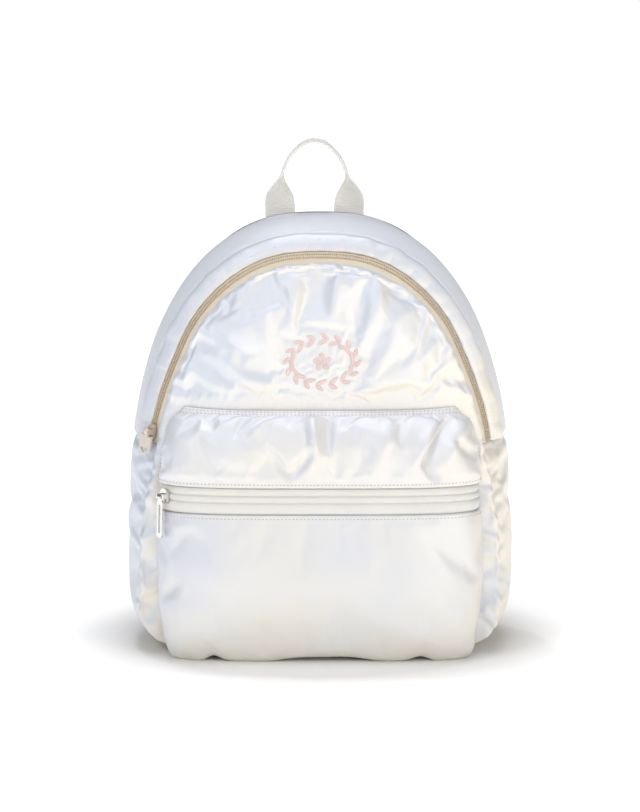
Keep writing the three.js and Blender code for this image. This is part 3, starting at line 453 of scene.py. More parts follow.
def pearl_nylon(name, cool, plain, warm, crinkle=0.35, lustre=0.30):
    """Pearl coated nylon: a soft metallic lustre over fine plain weave, with slight crinkles. cool and
    warm are painted tints for light from above and from below, and plain is the cloth's own colour.
    """
    material, tree, shader = new_material(name)
    place = add_node(tree, "ShaderNodeTexCoord").outputs["Object"]
    colours = {"Cool": (*cool, 1), "Plain": (*plain, 1), "Warm": (*warm, 1)}
    tint = add_node(
        tree, "ShaderNodeGroup", {"Place": place, **colours, "Cloud Size": cloud_size}, node_tree=pearl_clouds_and_painted_light
    )
    tree.links.new(tint.outputs["Color"], shader.inputs["Base Color"])
    flat = add_node(tree, "ShaderNodeUVMap", uv_map="weave").outputs["UV"]
    weave = add_node(tree, "ShaderNodeGroup", {"Place": flat, "Pitch": nylon_pitch}, node_tree=plain_weave)
    creases = add_node(tree, "ShaderNodeTexNoise", {"Vector": place, **crease_noise}).outputs["Fac"]
    creased = add_node(tree, "ShaderNodeBump", {"Height": creases, "Strength": crinkle, "Distance": 0.0012})
    threads = {"Height": weave.outputs["Height"], "Strength": 0.12, "Distance": 0.0001}
    bumped = add_node(tree, "ShaderNodeBump", {**threads, "Normal": creased.outputs[0]})
    tree.links.new(bumped.outputs[0], shader.inputs["Normal"])
    span = {"Value": tint.outputs["Cloud"], "To Min": smoothest, "To Max": roughest}
    shade = add_node(tree, "ShaderNodeMapRange", span)
    tree.links.new(shade.outputs[0], shader.inputs["Roughness"])
    shader.inputs["Metallic"].default_value = lustre
    shader.inputs["Coat Weight"].default_value = 0.18
    shader.inputs["Coat Roughness"].default_value = 0.28
    return material


# Painted light: the first and last colours are the painted cool and warm tints, the middle one the own colour
pearl = pearl_nylon("pearl_nylon", (0.73, 0.77, 0.86), (0.85, 0.85, 0.85), (0.92, 0.87, 0.77))

# A turned and sewn edge in section, from the seam: how far in from the widest place, and how far out
edge_roll = [
    {"step": 0.0, "inward": 0.0011, "out": 0.0},
    {"step": 0.25, "inward": 0.0003, "out": 0.18},
    {"step": 0.5, "inward": 0.0, "out": 0.5},
    {"step": 0.75, "inward": 0.0003, "out": 0.83},
    {"step": 1.0, "inward": 0.0016, "out": 1.0},
]
roll_rows = len(edge_roll) - 1
ridge_start = 0.002


def ridges(along, off, length, seed, pitch, height, reach):
    """Small gathers that run in from a seam of some length: along is the place on the seam, off
    the distance from it, pitch their mean spacing, height and reach their mean size."""
    rng = np.random.default_rng(seed)
    count = max(1, int(length / pitch))
    place = (np.arange(count) + rng.uniform(-0.35, 0.35, count)) * length / count
    tall = height * rng.uniform(0.3, 1.5, count)
    long = reach * rng.uniform(0.5, 1.8, count)
    slant = rng.normal(0, 0.22, count)
    wide = pitch * rng.uniform(0.2, 0.36, count)
    rise = np.zeros(len(along))
    for k in range(count):
        aside = along - place[k] - slant[k] * off
        aside -= length * np.round(aside / length)
        near = (np.abs(aside) < 4 * wide[k]) & (off < 3 * long[k])
        grow = 1 + 0.5 * off[near] / long[k]
        part = np.exp(-((aside[near] / (wide[k] * grow)) ** 2) - (off[near] / long[k]) ** 1.5)
        rise[near] += tall[k] * part
    return rise * np.minimum(1, off / ridge_start)


def scallops(along, length, seed, pitch):
    """Puffs between gathers along a seam: 0 where the cloth is pinched and 1 between."""
    rng = np.random.default_rng(seed)
    count = max(2, int(length / pitch))
    pinch = (np.arange(count + 1) + rng.uniform(-0.33, 0.33, count + 1)) * length / count
    pinch[0] = 0.0
    pinch[-1] = length
    phase = np.interp(np.mod(along, length), pinch, np.arange(count + 1))
    tall = rng.uniform(0.45, 1.0, count + 1)
    cell = np.minimum(phase.astype(int), count - 1)
    return np.abs(np.sin(np.pi * phase)) ** 0.7 * tall[cell]


def settled(points, cells, held, pressure, spare, frames, bending):
    """The same sheet after it has been blown up a little as real cloth, with a share of spare cloth.
    held is 1 where it is sewn down and 0 where it is free."""
    mesh = bpy.data.meshes.new("settling")
    mesh.from_pydata(points.tolist(), [], cells.tolist())
    sheet = bpy.data.objects.new("settling", mesh)
    scene.collection.objects.link(sheet)
    pins = sheet.vertex_groups.new(name="held")
    for index, weight in enumerate(held):
        if weight > 0.001:
            pins.add([index], float(weight), "REPLACE")
    cloth = sheet.modifiers.new("cloth", "CLOTH")
    rules = cloth.settings
    rules.quality = 5
    rules.time_scale = 1.0
    rules.mass = 0.12
    rules.air_damping = 4.0
    rules.tension_stiffness = 20.0
    rules.compression_stiffness = 20.0
    rules.shear_stiffness = 6.0
    rules.bending_stiffness = bending
    rules.tension_damping = 8.0
    rules.compression_damping = 8.0
    rules.shear_damping = 6.0
    rules.bending_damping = 0.6
    rules.use_pressure = True
    rules.uniform_pressure_force = pressure
    rules.vertex_group_mass = "held"
    rules.pin_stiffness = 1.0
    rules.shrink_min = -spare
    rules.shrink_max = -spare
    rules.effector_weights.gravity = 0.0
    cloth.collision_settings.use_collision = False
    cloth.collision_settings.use_self_collision = False
    cloth.point_cache.frame_start = 1
    cloth.point_cache.frame_end = frames
    for frame_number in range(1, frames + 1):
        scene.frame_set(frame_number)
    graph = bpy.context.evaluated_depsgraph_get()
    done = sheet.evaluated_get(graph).to_mesh()
    result = np.empty(len(points) * 3)
    done.vertices.foreach_get("co", result)
    sheet.evaluated_get(graph).to_mesh_clear()
    bpy.data.objects.remove(sheet)
    scene.frame_set(1)
    return result.reshape(-1, 3)


def panel_skin(across, sign, columns, rows, inward, bias, depth_at):
    """A panel's skin with its turned edge: its points, its cells and its rim. depth_at gives how
    far out the cloth reaches at a place, and sign says which way out is."""
    points, cells, rim = panel_net(across, columns, rows, inward, bias)
    edge = points[:columns].copy()
    centre = np.array([0.0, panel_centre])
    inwards = (centre - edge) / np.linalg.norm(centre - edge, axis=1, keepdims=True)
    seam = sign * (body_depth / 2 + seam_gap / 2)
    rolled = []
    for row in edge_roll[:-1]:
        flat = edge + inwards * row["inward"]
        y = np.full(columns, seam + sign * row["out"] * seam_thickness)
        rolled.append(np.column_stack([flat[:, 0], y, flat[:, 1]]))
    for j in range(rows + 1):
        shift = inwards * edge_roll[-1]["inward"] * (1 - j / rows)
        points[j * columns : (j + 1) * columns] += shift
    outer = np.column_stack([points[:, 0], sign * depth_at(points[:, 0], points[:, 1]), points[:, 1]])
    roll_cells = [ring_cells(columns, row) for row in range(roll_rows)]
    return np.vstack([*rolled, outer]), np.vstack([*roll_cells, cells + roll_rows * columns]), rim


def seam_distance(x, z, out_at):
    """Places along the edge of a panel, and distances from it."""
    out = np.minimum(1, out_at(x, z))
    radius = np.hypot(x, z - panel_centre) / np.maximum(out, 1e-6)
    off = (1 - out) * radius
    angle = np.arctan2(z - panel_centre, x)
    rim = gusset_point(edge_share[:-1], 0.0)
    rim_angle = np.unwrap(np.arctan2(rim[:, 2] - panel_centre, rim[:, 0]))
    order = np.argsort(np.mod(rim_angle, 2 * np.pi))
    along = np.interp(
        np.mod(angle, 2 * np.pi),
        np.mod(rim_angle, 2 * np.pi)[order],
        (edge_share[:-1][order] - edge_share[:-1][order][0]) % 1.0 * perimeter,
    )
    return along, off


def puckers(x, z, out_at, **gathers):
    """Gathers round the edge of a panel, at some places on it."""
    along, off = seam_distance(x, z, out_at)
    return ridges(along, off, perimeter, **gathers)


back_columns = 208
back_rows = 16
back_inward = 0.42
back_bias = 1.35
outer, cells, rim = panel_skin(1.0, 1, back_columns, back_rows, back_inward, back_bias, back_skin)
gathers = puckers(outer[:, 0], outer[:, 2], back_out, seed=11, pitch=0.014, height=0.0008, reach=0.014)
outer[:, 1] += gathers * (np.arange(len(outer)) >= roll_rows * back_columns)
# The cloth is free only between the feet of the straps and their tops, where they stand off it
free_above = (0.100, 0.130)
free_below = (0.225, 0.255)
held = np.where(np.arange(len(outer)) < (roll_rows + 1) * back_columns, 1.0, 0.0)
held = np.maximum(held, 1 - smoothstep(outer[:, 2], *free_above))
held = np.maximum(held, smoothstep(outer[:, 2], *free_below))
flat_place = outer[:, [0, 2]].copy()
outer = settled(outer, cells[:, ::-1], held, pressure=1.2, spare=0.012, frames=16, bending=1.5)
inner = outer.copy()
inner[:, 1] = body_depth / 2 + seam_gap / 4
back_panel = closed_piece("back_panel_cloth", outer, inner, cells, rim, flat_place, pearl, smooth=0)
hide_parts("back_panel")

# Sides and base
# One padded strip of the same nylon runs down both sides and under the body, between the two ends
# of the zip. It is sewn to the back panel behind and to the front panel before it, with gathers.
zip_end_height = 0.156
half_turn = outline_steps // 2
zip_end_share = np.interp(zip_end_height, edge_z[:half_turn], edge_share[:half_turn])
gap_share = seam_gap / 2 / perimeter
gap_across = seam_gap / body_depth
seam_dip = 0.0011
dip_width = 0.0024
padding_fullness = 0.6
# Where a cloth that is sewn down begins to come free, by the distance from its seam
sewn_from = 0.001
sewn_to = 0.004


def dipped(off):
    """How deep the cloth turns in at a seam, by the distance from it."""
    left = 1 - np.minimum(1, off / dip_width)
    return seam_dip * (1 - np.sqrt(1 - left**2))


def edge_dips(*offs):
    """How deep the cloth turns in near several seams."""
    return np.maximum.reduce([dipped(off) for off in offs])


def strip_distances(points, columns, rows):
    """Distances of a strip's points from its two ends and from its two long edges."""
    grid = points.reshape(columns + 1, rows + 1, 3)
    steps = np.linalg.norm(np.diff(grid, axis=0), axis=2)
    along = np.concatenate([np.zeros((1, rows + 1)), np.cumsum(steps, axis=0)])
    steps = np.linalg.norm(np.diff(grid, axis=1), axis=2)
    across = np.concatenate([np.zeros((columns + 1, 1)), np.cumsum(steps, axis=1)], axis=1)
    ends = along.ravel(), (along[-1] - along).ravel()
    return *ends, across.ravel(), (across[:, -1:] - across).ravel()


def padding(across, start, end):
    """Wadding's thickness across a strip: thin at its seams and full between them."""
    share = np.clip((across - start) / (end - start), 0, 1)
    return seam_thickness + (pad_thickness - seam_thickness) * np.sin(np.pi * share) ** padding_fullness


gusset_columns = 230
gusset_rows = 34
edge_crowding = 0.09
# The plain strip lies this far in at the sides, because the settled cloth puffs out again
puff_room = 0.0030
u, v, cells, rim = strip_net(gusset_columns, gusset_rows)
v = v - edge_crowding * np.sin(2 * np.pi * v)
share = -zip_end_share + gap_share + u * 2 * (zip_end_share - gap_share)
plain = gusset_point(share, v)
offs = strip_distances(plain, gusset_columns, gusset_rows)
start_off, end_off, front_off, back_off = offs
strip_length = perimeter * 2 * zip_end_share
along = u * strip_length
upright = np.abs(np.interp(np.mod(share, 1.0), edge_share, edge_dz))
gathers = ridges(along, front_off, strip_length, seed=21, pitch=0.013, height=0.0010, reach=0.016)
gathers += ridges(along, back_off, strip_length, seed=22, pitch=0.016, height=0.0009, reach=0.016)
broad = ridges(along, front_off, strip_length, seed=23, pitch=0.055, height=0.0012, reach=0.040)
dips = edge_dips(*offs)
lifted = (gathers + broad) * upright * smoothstep(np.minimum(start_off, end_off), 0.0, 0.01)
outer = gusset_point(share, v, dips - lifted + puff_room * upright)
sewn = 1 - smoothstep(np.minimum.reduce(offs), sewn_from, sewn_to)
held = np.maximum(sewn, 1 - smoothstep(upright, 0.45, 0.8))
outer = settled(outer, cells[:, ::-1], held, pressure=0.8, spare=0.026, frames=20, bending=0.6)
outer[:, 2] = np.maximum(outer[:, 2], 0.0)
inner = gusset_point(share, v, padding(v, 0, 1))
flat = np.column_stack([along, v * body_depth])
side_cloth = closed_piece("side_and_base_cloth", outer, inner, cells, rim, flat, pearl)
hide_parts("base_gusset")

# Top band
# The padded strip over the top, behind the zip: smooth, with a painted cool tint in all its colours for the
# light from above.
# Its front edge is folded over and stitched down along the zip flap.
zip_tape_width = 0.009
flap_width = 0.012
tape_across = zip_tape_width / body_depth
flap_across = tape_across + flap_width / body_depth
arch_share = 1 - 2 * (zip_end_share + gap_share)
arch_length = arch_share * perimeter
band_columns = 280
band_rows = 26
# Painted light: all three colours are cooler, a painted tint for the cool light that falls on the band from
# above
band_painted_cool_colours = [(0.77, 0.80, 0.87), (0.81, 0.83, 0.88), (0.86, 0.86, 0.86)]
pearl_painted_cool = pearl_nylon("pearl_nylon_painted_cool", *band_painted_cool_colours, crinkle=0.12, lustre=0.1)


def over_top(u):
    """Shares of the outline from the right end of the zip over the top to its left end."""
    return zip_end_share + gap_share + u * arch_share


u, v, cells, rim = strip_net(band_columns, band_rows)
v = v - edge_crowding * np.sin(2 * np.pi * v)
across = flap_across + gap_across + v * (1 - flap_across - gap_across)
plain = gusset_point(over_top(u), across)
offs = strip_distances(plain, band_columns, band_rows)
start_off, end_off, front_off, back_off = offs
along = u * arch_length
waves = ridges(along, back_off, arch_length, seed=31, pitch=0.045, height=0.0007, reach=0.03)
waves += ridges(along, front_off, arch_length, seed=32, pitch=0.035, height=0.0006, reach=0.012)
outer = gusset_point(over_top(u), across, edge_dips(*offs) - waves)
inner = gusset_point(over_top(u), across, padding(across, flap_across, 1))
flat = np.column_stack([along, across * body_depth])
top_band = closed_piece("top_band_cloth", outer, inner, cells, rim, flat, pearl_painted_cool, smooth=0)
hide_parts("top_band")
band_skin, band_front_off = outer, front_off

# Zip flap
# A rolled lip of the nylon along the front edge of the band, which shields the zip. Its cloth is
# pulled in along the stitching, so it is slightly wrinkled all the way.
flap_rise = 0.004
flap_thickness = 0.004
flap_columns = 400
flap_rows = 12
lip_pitch = 0.016
lip_waviness = 0.0016
lip_puff = 0.0008
lip_end = 0.45
lip_mean = 0.45
wrinkle_mean = 0.0006
u, v, cells, rim = strip_net(flap_columns, flap_rows)
across = tape_across + gap_across + v * (flap_across - tape_across - gap_across)
plain = gusset_point(over_top(u), across)
start_off, end_off, front_off, back_off = strip_distances(plain, flap_columns, flap_rows)
along = u * arch_length
swell = np.sin(np.pi * v)
wrinkle = ridges(along, front_off, arch_length, seed=41, pitch=0.019, height=0.0009, reach=0.012)
wrinkle += ridges(along, back_off, arch_length, seed=42, pitch=0.026, height=0.0010, reach=0.011)
wrinkle -= wrinkle_mean
lip = scallops(along, arch_length, seed=43, pitch=lip_pitch) - lip_mean
lip_share = 1 - smoothstep(v, 0.0, lip_end)
lip_reach = lip_waviness * lip * lip_share * smoothstep(np.minimum(start_off, end_off), 0.0, 0.02)
lip_lift = lip_puff * lip * np.sin(np.pi * np.clip(v * 2, 0, 1))
flap_depth = dipped(back_off) - flap_rise * swell - wrinkle * swell - lip_lift
outer = gusset_point(over_top(u), across - lip_reach / body_depth, flap_depth)
inner = gusset_point(over_top(u), across, seam_thickness - swell * (flap_rise - flap_thickness))
flat = np.column_stack([along, across * body_depth])
zip_flap = closed_piece("zip_flap_cloth", outer, inner, cells, rim, flat, pearl, smooth=0)
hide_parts("zip_flap")
flap_skin, flap_front_off = outer, front_off

# Main zip
# Woven tape in the recess under the flap, with two rows of coil that are closed along its middle.
zip_tape_thickness = 0.0015
zip_recess = 0.0015
coil_width = 0.0042
coil_height = 0.0017
coil_place = 0.66
coil_sizes = {"Pitch": 0.0016, "Length": 0.0011, "Width": 0.0025, "Height": coil_height}


def woven(name, colour, pitch, roughness=0.85):
    """Woven tape, webbing or thread: a plain weave, matt, with slight changes of colour."""
    material, tree, shader = new_material(name)
    flat = add_node(tree, "ShaderNodeUVMap", uv_map="weave").outputs["UV"]
    weave = add_node(tree, "ShaderNodeGroup", {"Place": flat, "Pitch": pitch}, node_tree=plain_weave)
    place = add_node(tree, "ShaderNodeTexCoord").outputs["Object"]
    stains = add_node(tree, "ShaderNodeTexNoise", {"Vector": place, "Scale": 40.0, "Detail": 3.0})
    darker = tuple(0.92 * part for part in colour)
    blend = {0: stains.outputs["Fac"], 6: (*colour, 1), 7: (*darker, 1)}
    mixed = add_node(tree, "ShaderNodeMix", blend, data_type="RGBA")
    tree.links.new(mixed.outputs[2], shader.inputs["Base Color"])
    threads = {"Height": weave.outputs["Height"], "Strength": 0.4, "Distance": 0.00015}
    tree.links.new(add_node(tree, "ShaderNodeBump", threads).outputs[0], shader.inputs["Normal"])
    shader.inputs["Roughness"].default_value = roughness
    return material


tape_cloth = woven("zip_tape", (0.84, 0.77, 0.64), 0.0008)


bar_sizes = ("Pitch", "Length", "Width", "Height")
bar_shape = {"Segments": 8, "Rings": 5, "Radius": 0.5}


def repeat_tree(name, material):
    """Geometry Nodes that set a small rounded bar at even steps along a line. The line is a mesh
    of edges, and its attribute outward says which way is out."""
    tree = bpy.data.node_groups.new(name, "GeometryNodeTree")
    tree.interface.new_socket("Geometry", in_out="INPUT", socket_type="NodeSocketGeometry")
    for label in bar_sizes:
        tree.interface.new_socket(label, in_out="INPUT", socket_type="NodeSocketFloat")
    tree.interface.new_socket("Geometry", in_out="OUTPUT", socket_type="NodeSocketGeometry")
    start = tree.nodes.new("NodeGroupInput").outputs
    end = tree.nodes.new("NodeGroupOutput")
    curve = add_node(tree, "GeometryNodeMeshToCurve", {0: start["Geometry"]})
    steps = {"Curve": curve.outputs[0], "Length": start["Pitch"]}
    spaced = add_node(tree, "GeometryNodeResampleCurve", steps, mode="LENGTH")
    tangent = add_node(tree, "GeometryNodeInputTangent").outputs[0]
    normal = add_node(tree, "GeometryNodeInputNamedAttribute", {"Name": "outward"}, data_type="FLOAT_VECTOR")
    turn = "FunctionNodeAlignRotationToVector"
    first = add_node(tree, turn, {"Vector": tangent}, axis="X")
    facing = {"Rotation": first.outputs[0], "Vector": normal.outputs["Attribute"]}
    second = add_node(tree, turn, facing, axis="Z", pivot_axis="X")
    bar = add_node(tree, "GeometryNodeMeshUVSphere", bar_shape)
    size = add_node(tree, "ShaderNodeCombineXYZ", {0: start["Length"], 1: start["Width"], 2: start["Height"]})
    bars = {"Points": spaced.outputs[0], "Instance": bar.outputs[0]}
    places = {**bars, "Rotation": second.outputs[0], "Scale": size.outputs[0]}
    placed = add_node(tree, "GeometryNodeInstanceOnPoints", places)
    real = add_node(tree, "GeometryNodeRealizeInstances", {0: placed.outputs[0]})
    smooth = add_node(tree, "GeometryNodeSetShadeSmooth", {0: real.outputs[0]})
    painted = add_node(tree, "GeometryNodeSetMaterial", {0: smooth.outputs[0], "Material": material})
    tree.links.new(painted.outputs[0], end.inputs[0])
    return tree


def run_along(name, lines, tree, sizes):
    """A mesh of the small bars of a Geometry Nodes tree along some lines of points with outward
    directions, as one plain object."""
    verts, edges, outward = [], [], []
    for points, normals in lines:
        base = len(verts)
        verts.extend(points.tolist())
        outward.extend(normals.tolist())
        edges.extend((base + i, base + i + 1) for i in range(len(points) - 1))
    mesh = bpy.data.meshes.new(name)
    mesh.from_pydata(verts, edges, [])
    facing = mesh.attributes.new("outward", "FLOAT_VECTOR", "POINT")
    facing.data.foreach_set("vector", np.array(outward, np.float32).ravel())
    holder = bpy.data.objects.new(name, mesh)
    scene.collection.objects.link(holder)
    modifier = holder.modifiers.new("repeat", "NODES")
    modifier.node_group = tree
    for item in tree.interface.items_tree:
        if item.item_type == "SOCKET" and item.in_out == "INPUT" and item.name in sizes:
            modifier[item.identifier] = sizes[item.name]
    graph = bpy.context.evaluated_depsgraph_get()
    made = bpy.data.meshes.new_from_object(holder.evaluated_get(graph))
    holder.modifiers.remove(modifier)
    holder.data = made
    made.name = name
    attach(holder, "root")
    return holder


def strip_normals(points, columns, rows):
    """Directions out of a strip's cloth at its points."""
    grid = points.reshape(columns + 1, rows + 1, 3)
    du, dv = np.gradient(grid, axis=0), np.gradient(grid, axis=1)
    normal = np.cross(du, dv)
    normal /= np.linalg.norm(normal, axis=2, keepdims=True)
    return normal


zip_columns = 420
zip_rows = 14
coil_line_steps = 700
u, v, cells, rim = strip_net(zip_columns, zip_rows)
across = gap_across + v * (tape_across - 2 * gap_across)
along = u * arch_length
wave = 0.0002 * np.sin(along / 0.0021) + 0.0002 * np.sin(along / 0.0057 + 1.3)
edge_wave = wave * (1 - smoothstep(v, 0.0, 0.35))
outer = gusset_point(over_top(u), across, zip_recess - edge_wave)
inner = gusset_point(over_top(u), across, zip_recess + zip_tape_thickness)
flat = np.column_stack([along, across * body_depth])
main_tape = closed_piece("main_zip_tape", outer, inner, cells, rim, flat, tape_cloth, smooth=0)
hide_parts("main_zip")

# The coil's own tan, darkened as painted shade from the flap that hangs over it
coil_plastic_and_painted_shade = woven("zip_coil", (0.62, 0.48, 0.33), 0.0006, roughness=0.5)
coil_tree = repeat_tree("coil_turns", coil_plastic_and_painted_shade)
lines = []
for hand in (-1, 1):
    middle = tape_across * coil_place + hand * coil_width / 4 / body_depth
    shares = over_top(np.linspace(0.002, 0.998, coil_line_steps))
    points = gusset_point(shares, middle, zip_recess - coil_height / 4)
    normals = points - gusset_point(shares, middle, zip_recess + 0.001)
    lines.append((points, normals / np.linalg.norm(normals, axis=1, keepdims=True)))
coil = run_along("main_zip_coil", lines, coil_tree, coil_sizes)

# Front panel
# The big puffy panel between the zip and the base. Its cloth is cut larger than its frame, so it is
# gathered into its seam all round and falls in soft folds over the wadding.
front_crown_low = 0.006
front_crown_high = 0.017
crown_start = 0.120
crown_full = 0.205
panel_fullness = 3.2
front_out = share_out(0.0)


def front_puff(x, z):
    """How far the front panel puffs out at a place, without its gathers."""
    crown = front_crown_low + (front_crown_high - front_crown_low) * smoothstep(z, crown_start, crown_full)
    return crown * (1 - np.minimum(1, front_out(x, z)) ** panel_fullness)


def front_skin(x, z):
    """How far forward the front panel reaches at a place."""
    return body_depth / 2 + seam_gap + seam_thickness + front_puff(x, z)


# Main folds of the front panel: ends across and up, widths and heights, in metres
panel_folds = [
    {"from": (-0.014, 0.283), "to": (-0.022, 0.232), "width": 0.006, "rise": 0.0032},
    {"from": (0.014, 0.283), "to": (0.008, 0.239), "width": 0.006, "rise": 0.0030},
    {"from": (0.047, 0.273), "to": (0.028, 0.220), "width": 0.007, "rise": 0.0034},
    {"from": (-0.044, 0.251), "to": (-0.033, 0.210), "width": 0.007, "rise": 0.0030},
    {"from": (0.063, 0.257), "to": (0.030, 0.188), "width": 0.009, "rise": 0.0034},
    {"from": (-0.060, 0.250), "to": (-0.046, 0.222), "width": 0.006, "rise": 0.0022},
]


def fold_rise(folds, x, z):
    """Height of some main folds at a place across and up."""
    rise = np.zeros(np.shape(x))
    for fold in folds:
        start = np.array(fold["from"])
        line = np.array(fold["to"]) - start
        px, pz = x - start[0], z - start[1]
        share = (px * line[0] + pz * line[1]) / (line @ line)
        aside = (px * line[1] - pz * line[0]) / np.linalg.norm(line)
        fade = np.where((share > 0) & (share < 1), np.sin(np.pi * np.clip(share, 0, 1)) ** 0.7, 0)
        rise += fold["rise"] * fade * np.exp(-((aside / fold["width"]) ** 2))
    return rise


front_columns = 256
front_rows = 28
front_inward = 0.5
front_bias = 1.2
edge_puff = 0.0034
rim_rows = roll_rows + 4
badge_place = (0.0015, 0.2150)
badge_size = (0.036, 0.027)
badge_hold = 0.35
outer, cells, rim = panel_skin(0.0, -1, front_columns, front_rows, front_inward, front_bias, front_skin)
x, z = outer[:, 0], outer[:, 2]
free = np.arange(len(outer)) >= roll_rows * front_columns
seam_place, seam_off = seam_distance(x, z, front_out)
puffs = scallops(seam_place, perimeter, seed=50, pitch=0.0105)
near_seam = np.exp(-seam_off / 0.007)
gathers = puckers(x, z, front_out, seed=51, pitch=0.012, height=0.0010, reach=0.016)
gathers += puckers(x, z, front_out, seed=52, pitch=0.034, height=0.0020, reach=0.04)
gathers += edge_puff * (puffs - 0.5) * near_seam
pocket_height = 0.181
above = smoothstep(z, pocket_height - 0.01, pocket_height + 0.02)
beside = smoothstep(np.abs(x), 0.112, 0.120) * smoothstep(z, 0.0, 0.03)
loose = np.maximum(above, beside)
outer[:, 1] -= free * (gathers * loose + fold_rise(panel_folds, x, z))
inwards = np.column_stack([-x, 0 * x, panel_centre - z])
inwards /= np.maximum(np.linalg.norm(inwards, axis=1, keepdims=True), 1e-6)
row_number = np.minimum(np.arange(len(outer)) // front_columns, rim_rows)
edge_weight = np.interp(row_number, [0, 2, roll_rows, rim_rows], [0.0, 1.0, 1.0, 0.0]) * loose
outer -= inwards * (edge_weight * edge_puff * (puffs - 0.42))[:, None]
flat_place = outer[:, [0, 2]].copy()
from_badge = np.hypot((x - badge_place[0]) / badge_size[0], (z - badge_place[1]) / badge_size[1])
held = np.maximum(1 - loose, badge_hold * (1 - smoothstep(from_badge, 0.8, 1.25)))
held = np.where(np.arange(len(outer)) < (roll_rows - 1) * front_columns, 1.0, held)
outer = settled(outer, cells, held, pressure=2.5, spare=0.050, frames=22, bending=0.6)
inner = outer.copy()
inner[:, 1] = -(body_depth / 2 + seam_gap / 4) - 0.5 * np.where(free, front_puff(x, z), 0)
front_panel = closed_piece("front_panel_cloth", outer, inner, cells, rim, flat_place, pearl)
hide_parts("front_panel")

# Pocket
# The front pocket in two padded parts, with its zip between them. The pouch is sewn to the front
# panel down its sides and along the base, and the yoke along its top under a stitched welt.
pocket_half = 0.116
pocket_proud = 0.040
pocket_squareness = 4
pocket_wall = 0.006
pocket_top_lean = 0.6
pocket_sections = [
    {"place": "base seam", "up": 0.06, "out": 0.0, "half": 0.8},
    {"place": "base middle", "up": 0.0, "out": 0.36, "half": 0.87},
    {"place": "floor edge", "up": 0.0, "out": 0.74, "half": 0.92},
    {"place": "lower face", "up": 0.09, "out": 0.97, "half": 0.965},
    {"place": "belly", "up": 0.3, "out": 1.0, "half": 1.0},
    {"place": "below zip", "up": 0.6, "out": 0.87, "half": 0.995},
    {"place": "above zip", "up": 0.702, "out": 0.83, "half": 0.99},
    {"place": "yoke face", "up": 0.85, "out": 0.66, "half": 0.975},
    {"place": "yoke shoulder", "up": 0.95, "out": 0.34, "half": 0.92},
    {"place": "top seam", "up": 1.0, "out": 0.04, "half": 0.84},
]
belly = 4
below_zip = 5
above_zip = 6
yoke_face = 7
top_seam = 9
station_gap = 0.015
profile_tension = 0.45


def spline_at(points, place, tension):
    """Places on the smooth curve through some points, counted in points from its start."""
    points = np.asarray(points, float)
    line = np.vstack([2 * points[0] - points[1], points, 2 * points[-1] - points[-2]])
    place = np.clip(place, 0, len(points) - 1)
    low = np.minimum(place.astype(int), len(points) - 2)
    w = (place - low)[..., None]
    p0, p1, p2, p3 = (line[low + k] for k in range(4))
    t0, t1 = tension * (p2 - p0), tension * (p3 - p1)
    return p1 + t0 * w + (3 * (p2 - p1) - 2 * t0 - t1) * w**2 + (2 * (p1 - p2) + t0 + t1) * w**3


profile_sizes = {"half": pocket_half, "out": pocket_proud, "up": pocket_height}
profile_points = [[row[key] * size for key, size in profile_sizes.items()] for row in pocket_sections]


def pocket_point(u, station, depth=0.0, lift=0.0):
    """Points of the pocket: u runs from its left seam over its face to its right seam, station
    counts the rows of its sections, and depth goes in from the cloth."""
    at = spline_at(profile_points, station, profile_tension)
    angle = np.pi * (1 - u)
    swing = np.cos(angle)
    across = np.sign(swing) * np.abs(swing) ** (2 / pocket_squareness)
    forward = np.abs(np.sin(angle)) ** (2 / pocket_squareness)
    x = across * (at[..., 0] - depth)
    under = 1 - smoothstep(station, 0, belly)
    top = smoothstep(station, yoke_face, top_seam)
    z = np.maximum(at[..., 2], 0) + depth * (under - top) + lift * forward
    out = np.maximum(at[..., 1] - depth * (1 - under) * (1 - pocket_top_lean * top), 0)
    return np.stack([x, -front_skin(x, z) - seam_gap - out * forward, z], axis=-1)


def even_turns(count, station):
    """Values of u at even steps of length round the pocket's section at a station."""
    fine = np.linspace(0, 1, 20001)
    points = pocket_point(fine, np.full(len(fine), float(station)))
    length = np.concatenate([[0], np.cumsum(np.linalg.norm(np.diff(points, axis=0), axis=1))])
    return np.interp(np.linspace(0, length[-1], count + 1), length, fine)


def pocket_skin(columns, rows, first, last, crowding):
    """The net of one part of the pocket: its plain points, their places and their distances."""
    u, v, cells, rim = strip_net(columns, rows)
    turns = even_turns(columns, (first + last) / 2)
    u = np.repeat(turns, rows + 1)
    v = v - crowding * np.sin(2 * np.pi * v)
    station = first + v * (last - first)
    plain = pocket_point(u, station)
    return u, v, station, cells, rim, strip_distances(plain, columns, rows)


# Where the pouch's base edge lifts off the floor: places and widths as shares round the pocket
pouch_lifts = [
    {"across": 0.330, "width": 0.030, "rise": 0.0046},
    {"across": 0.505, "width": 0.030, "rise": 0.0036},
    {"across": 0.650, "width": 0.034, "rise": 0.0042},
]
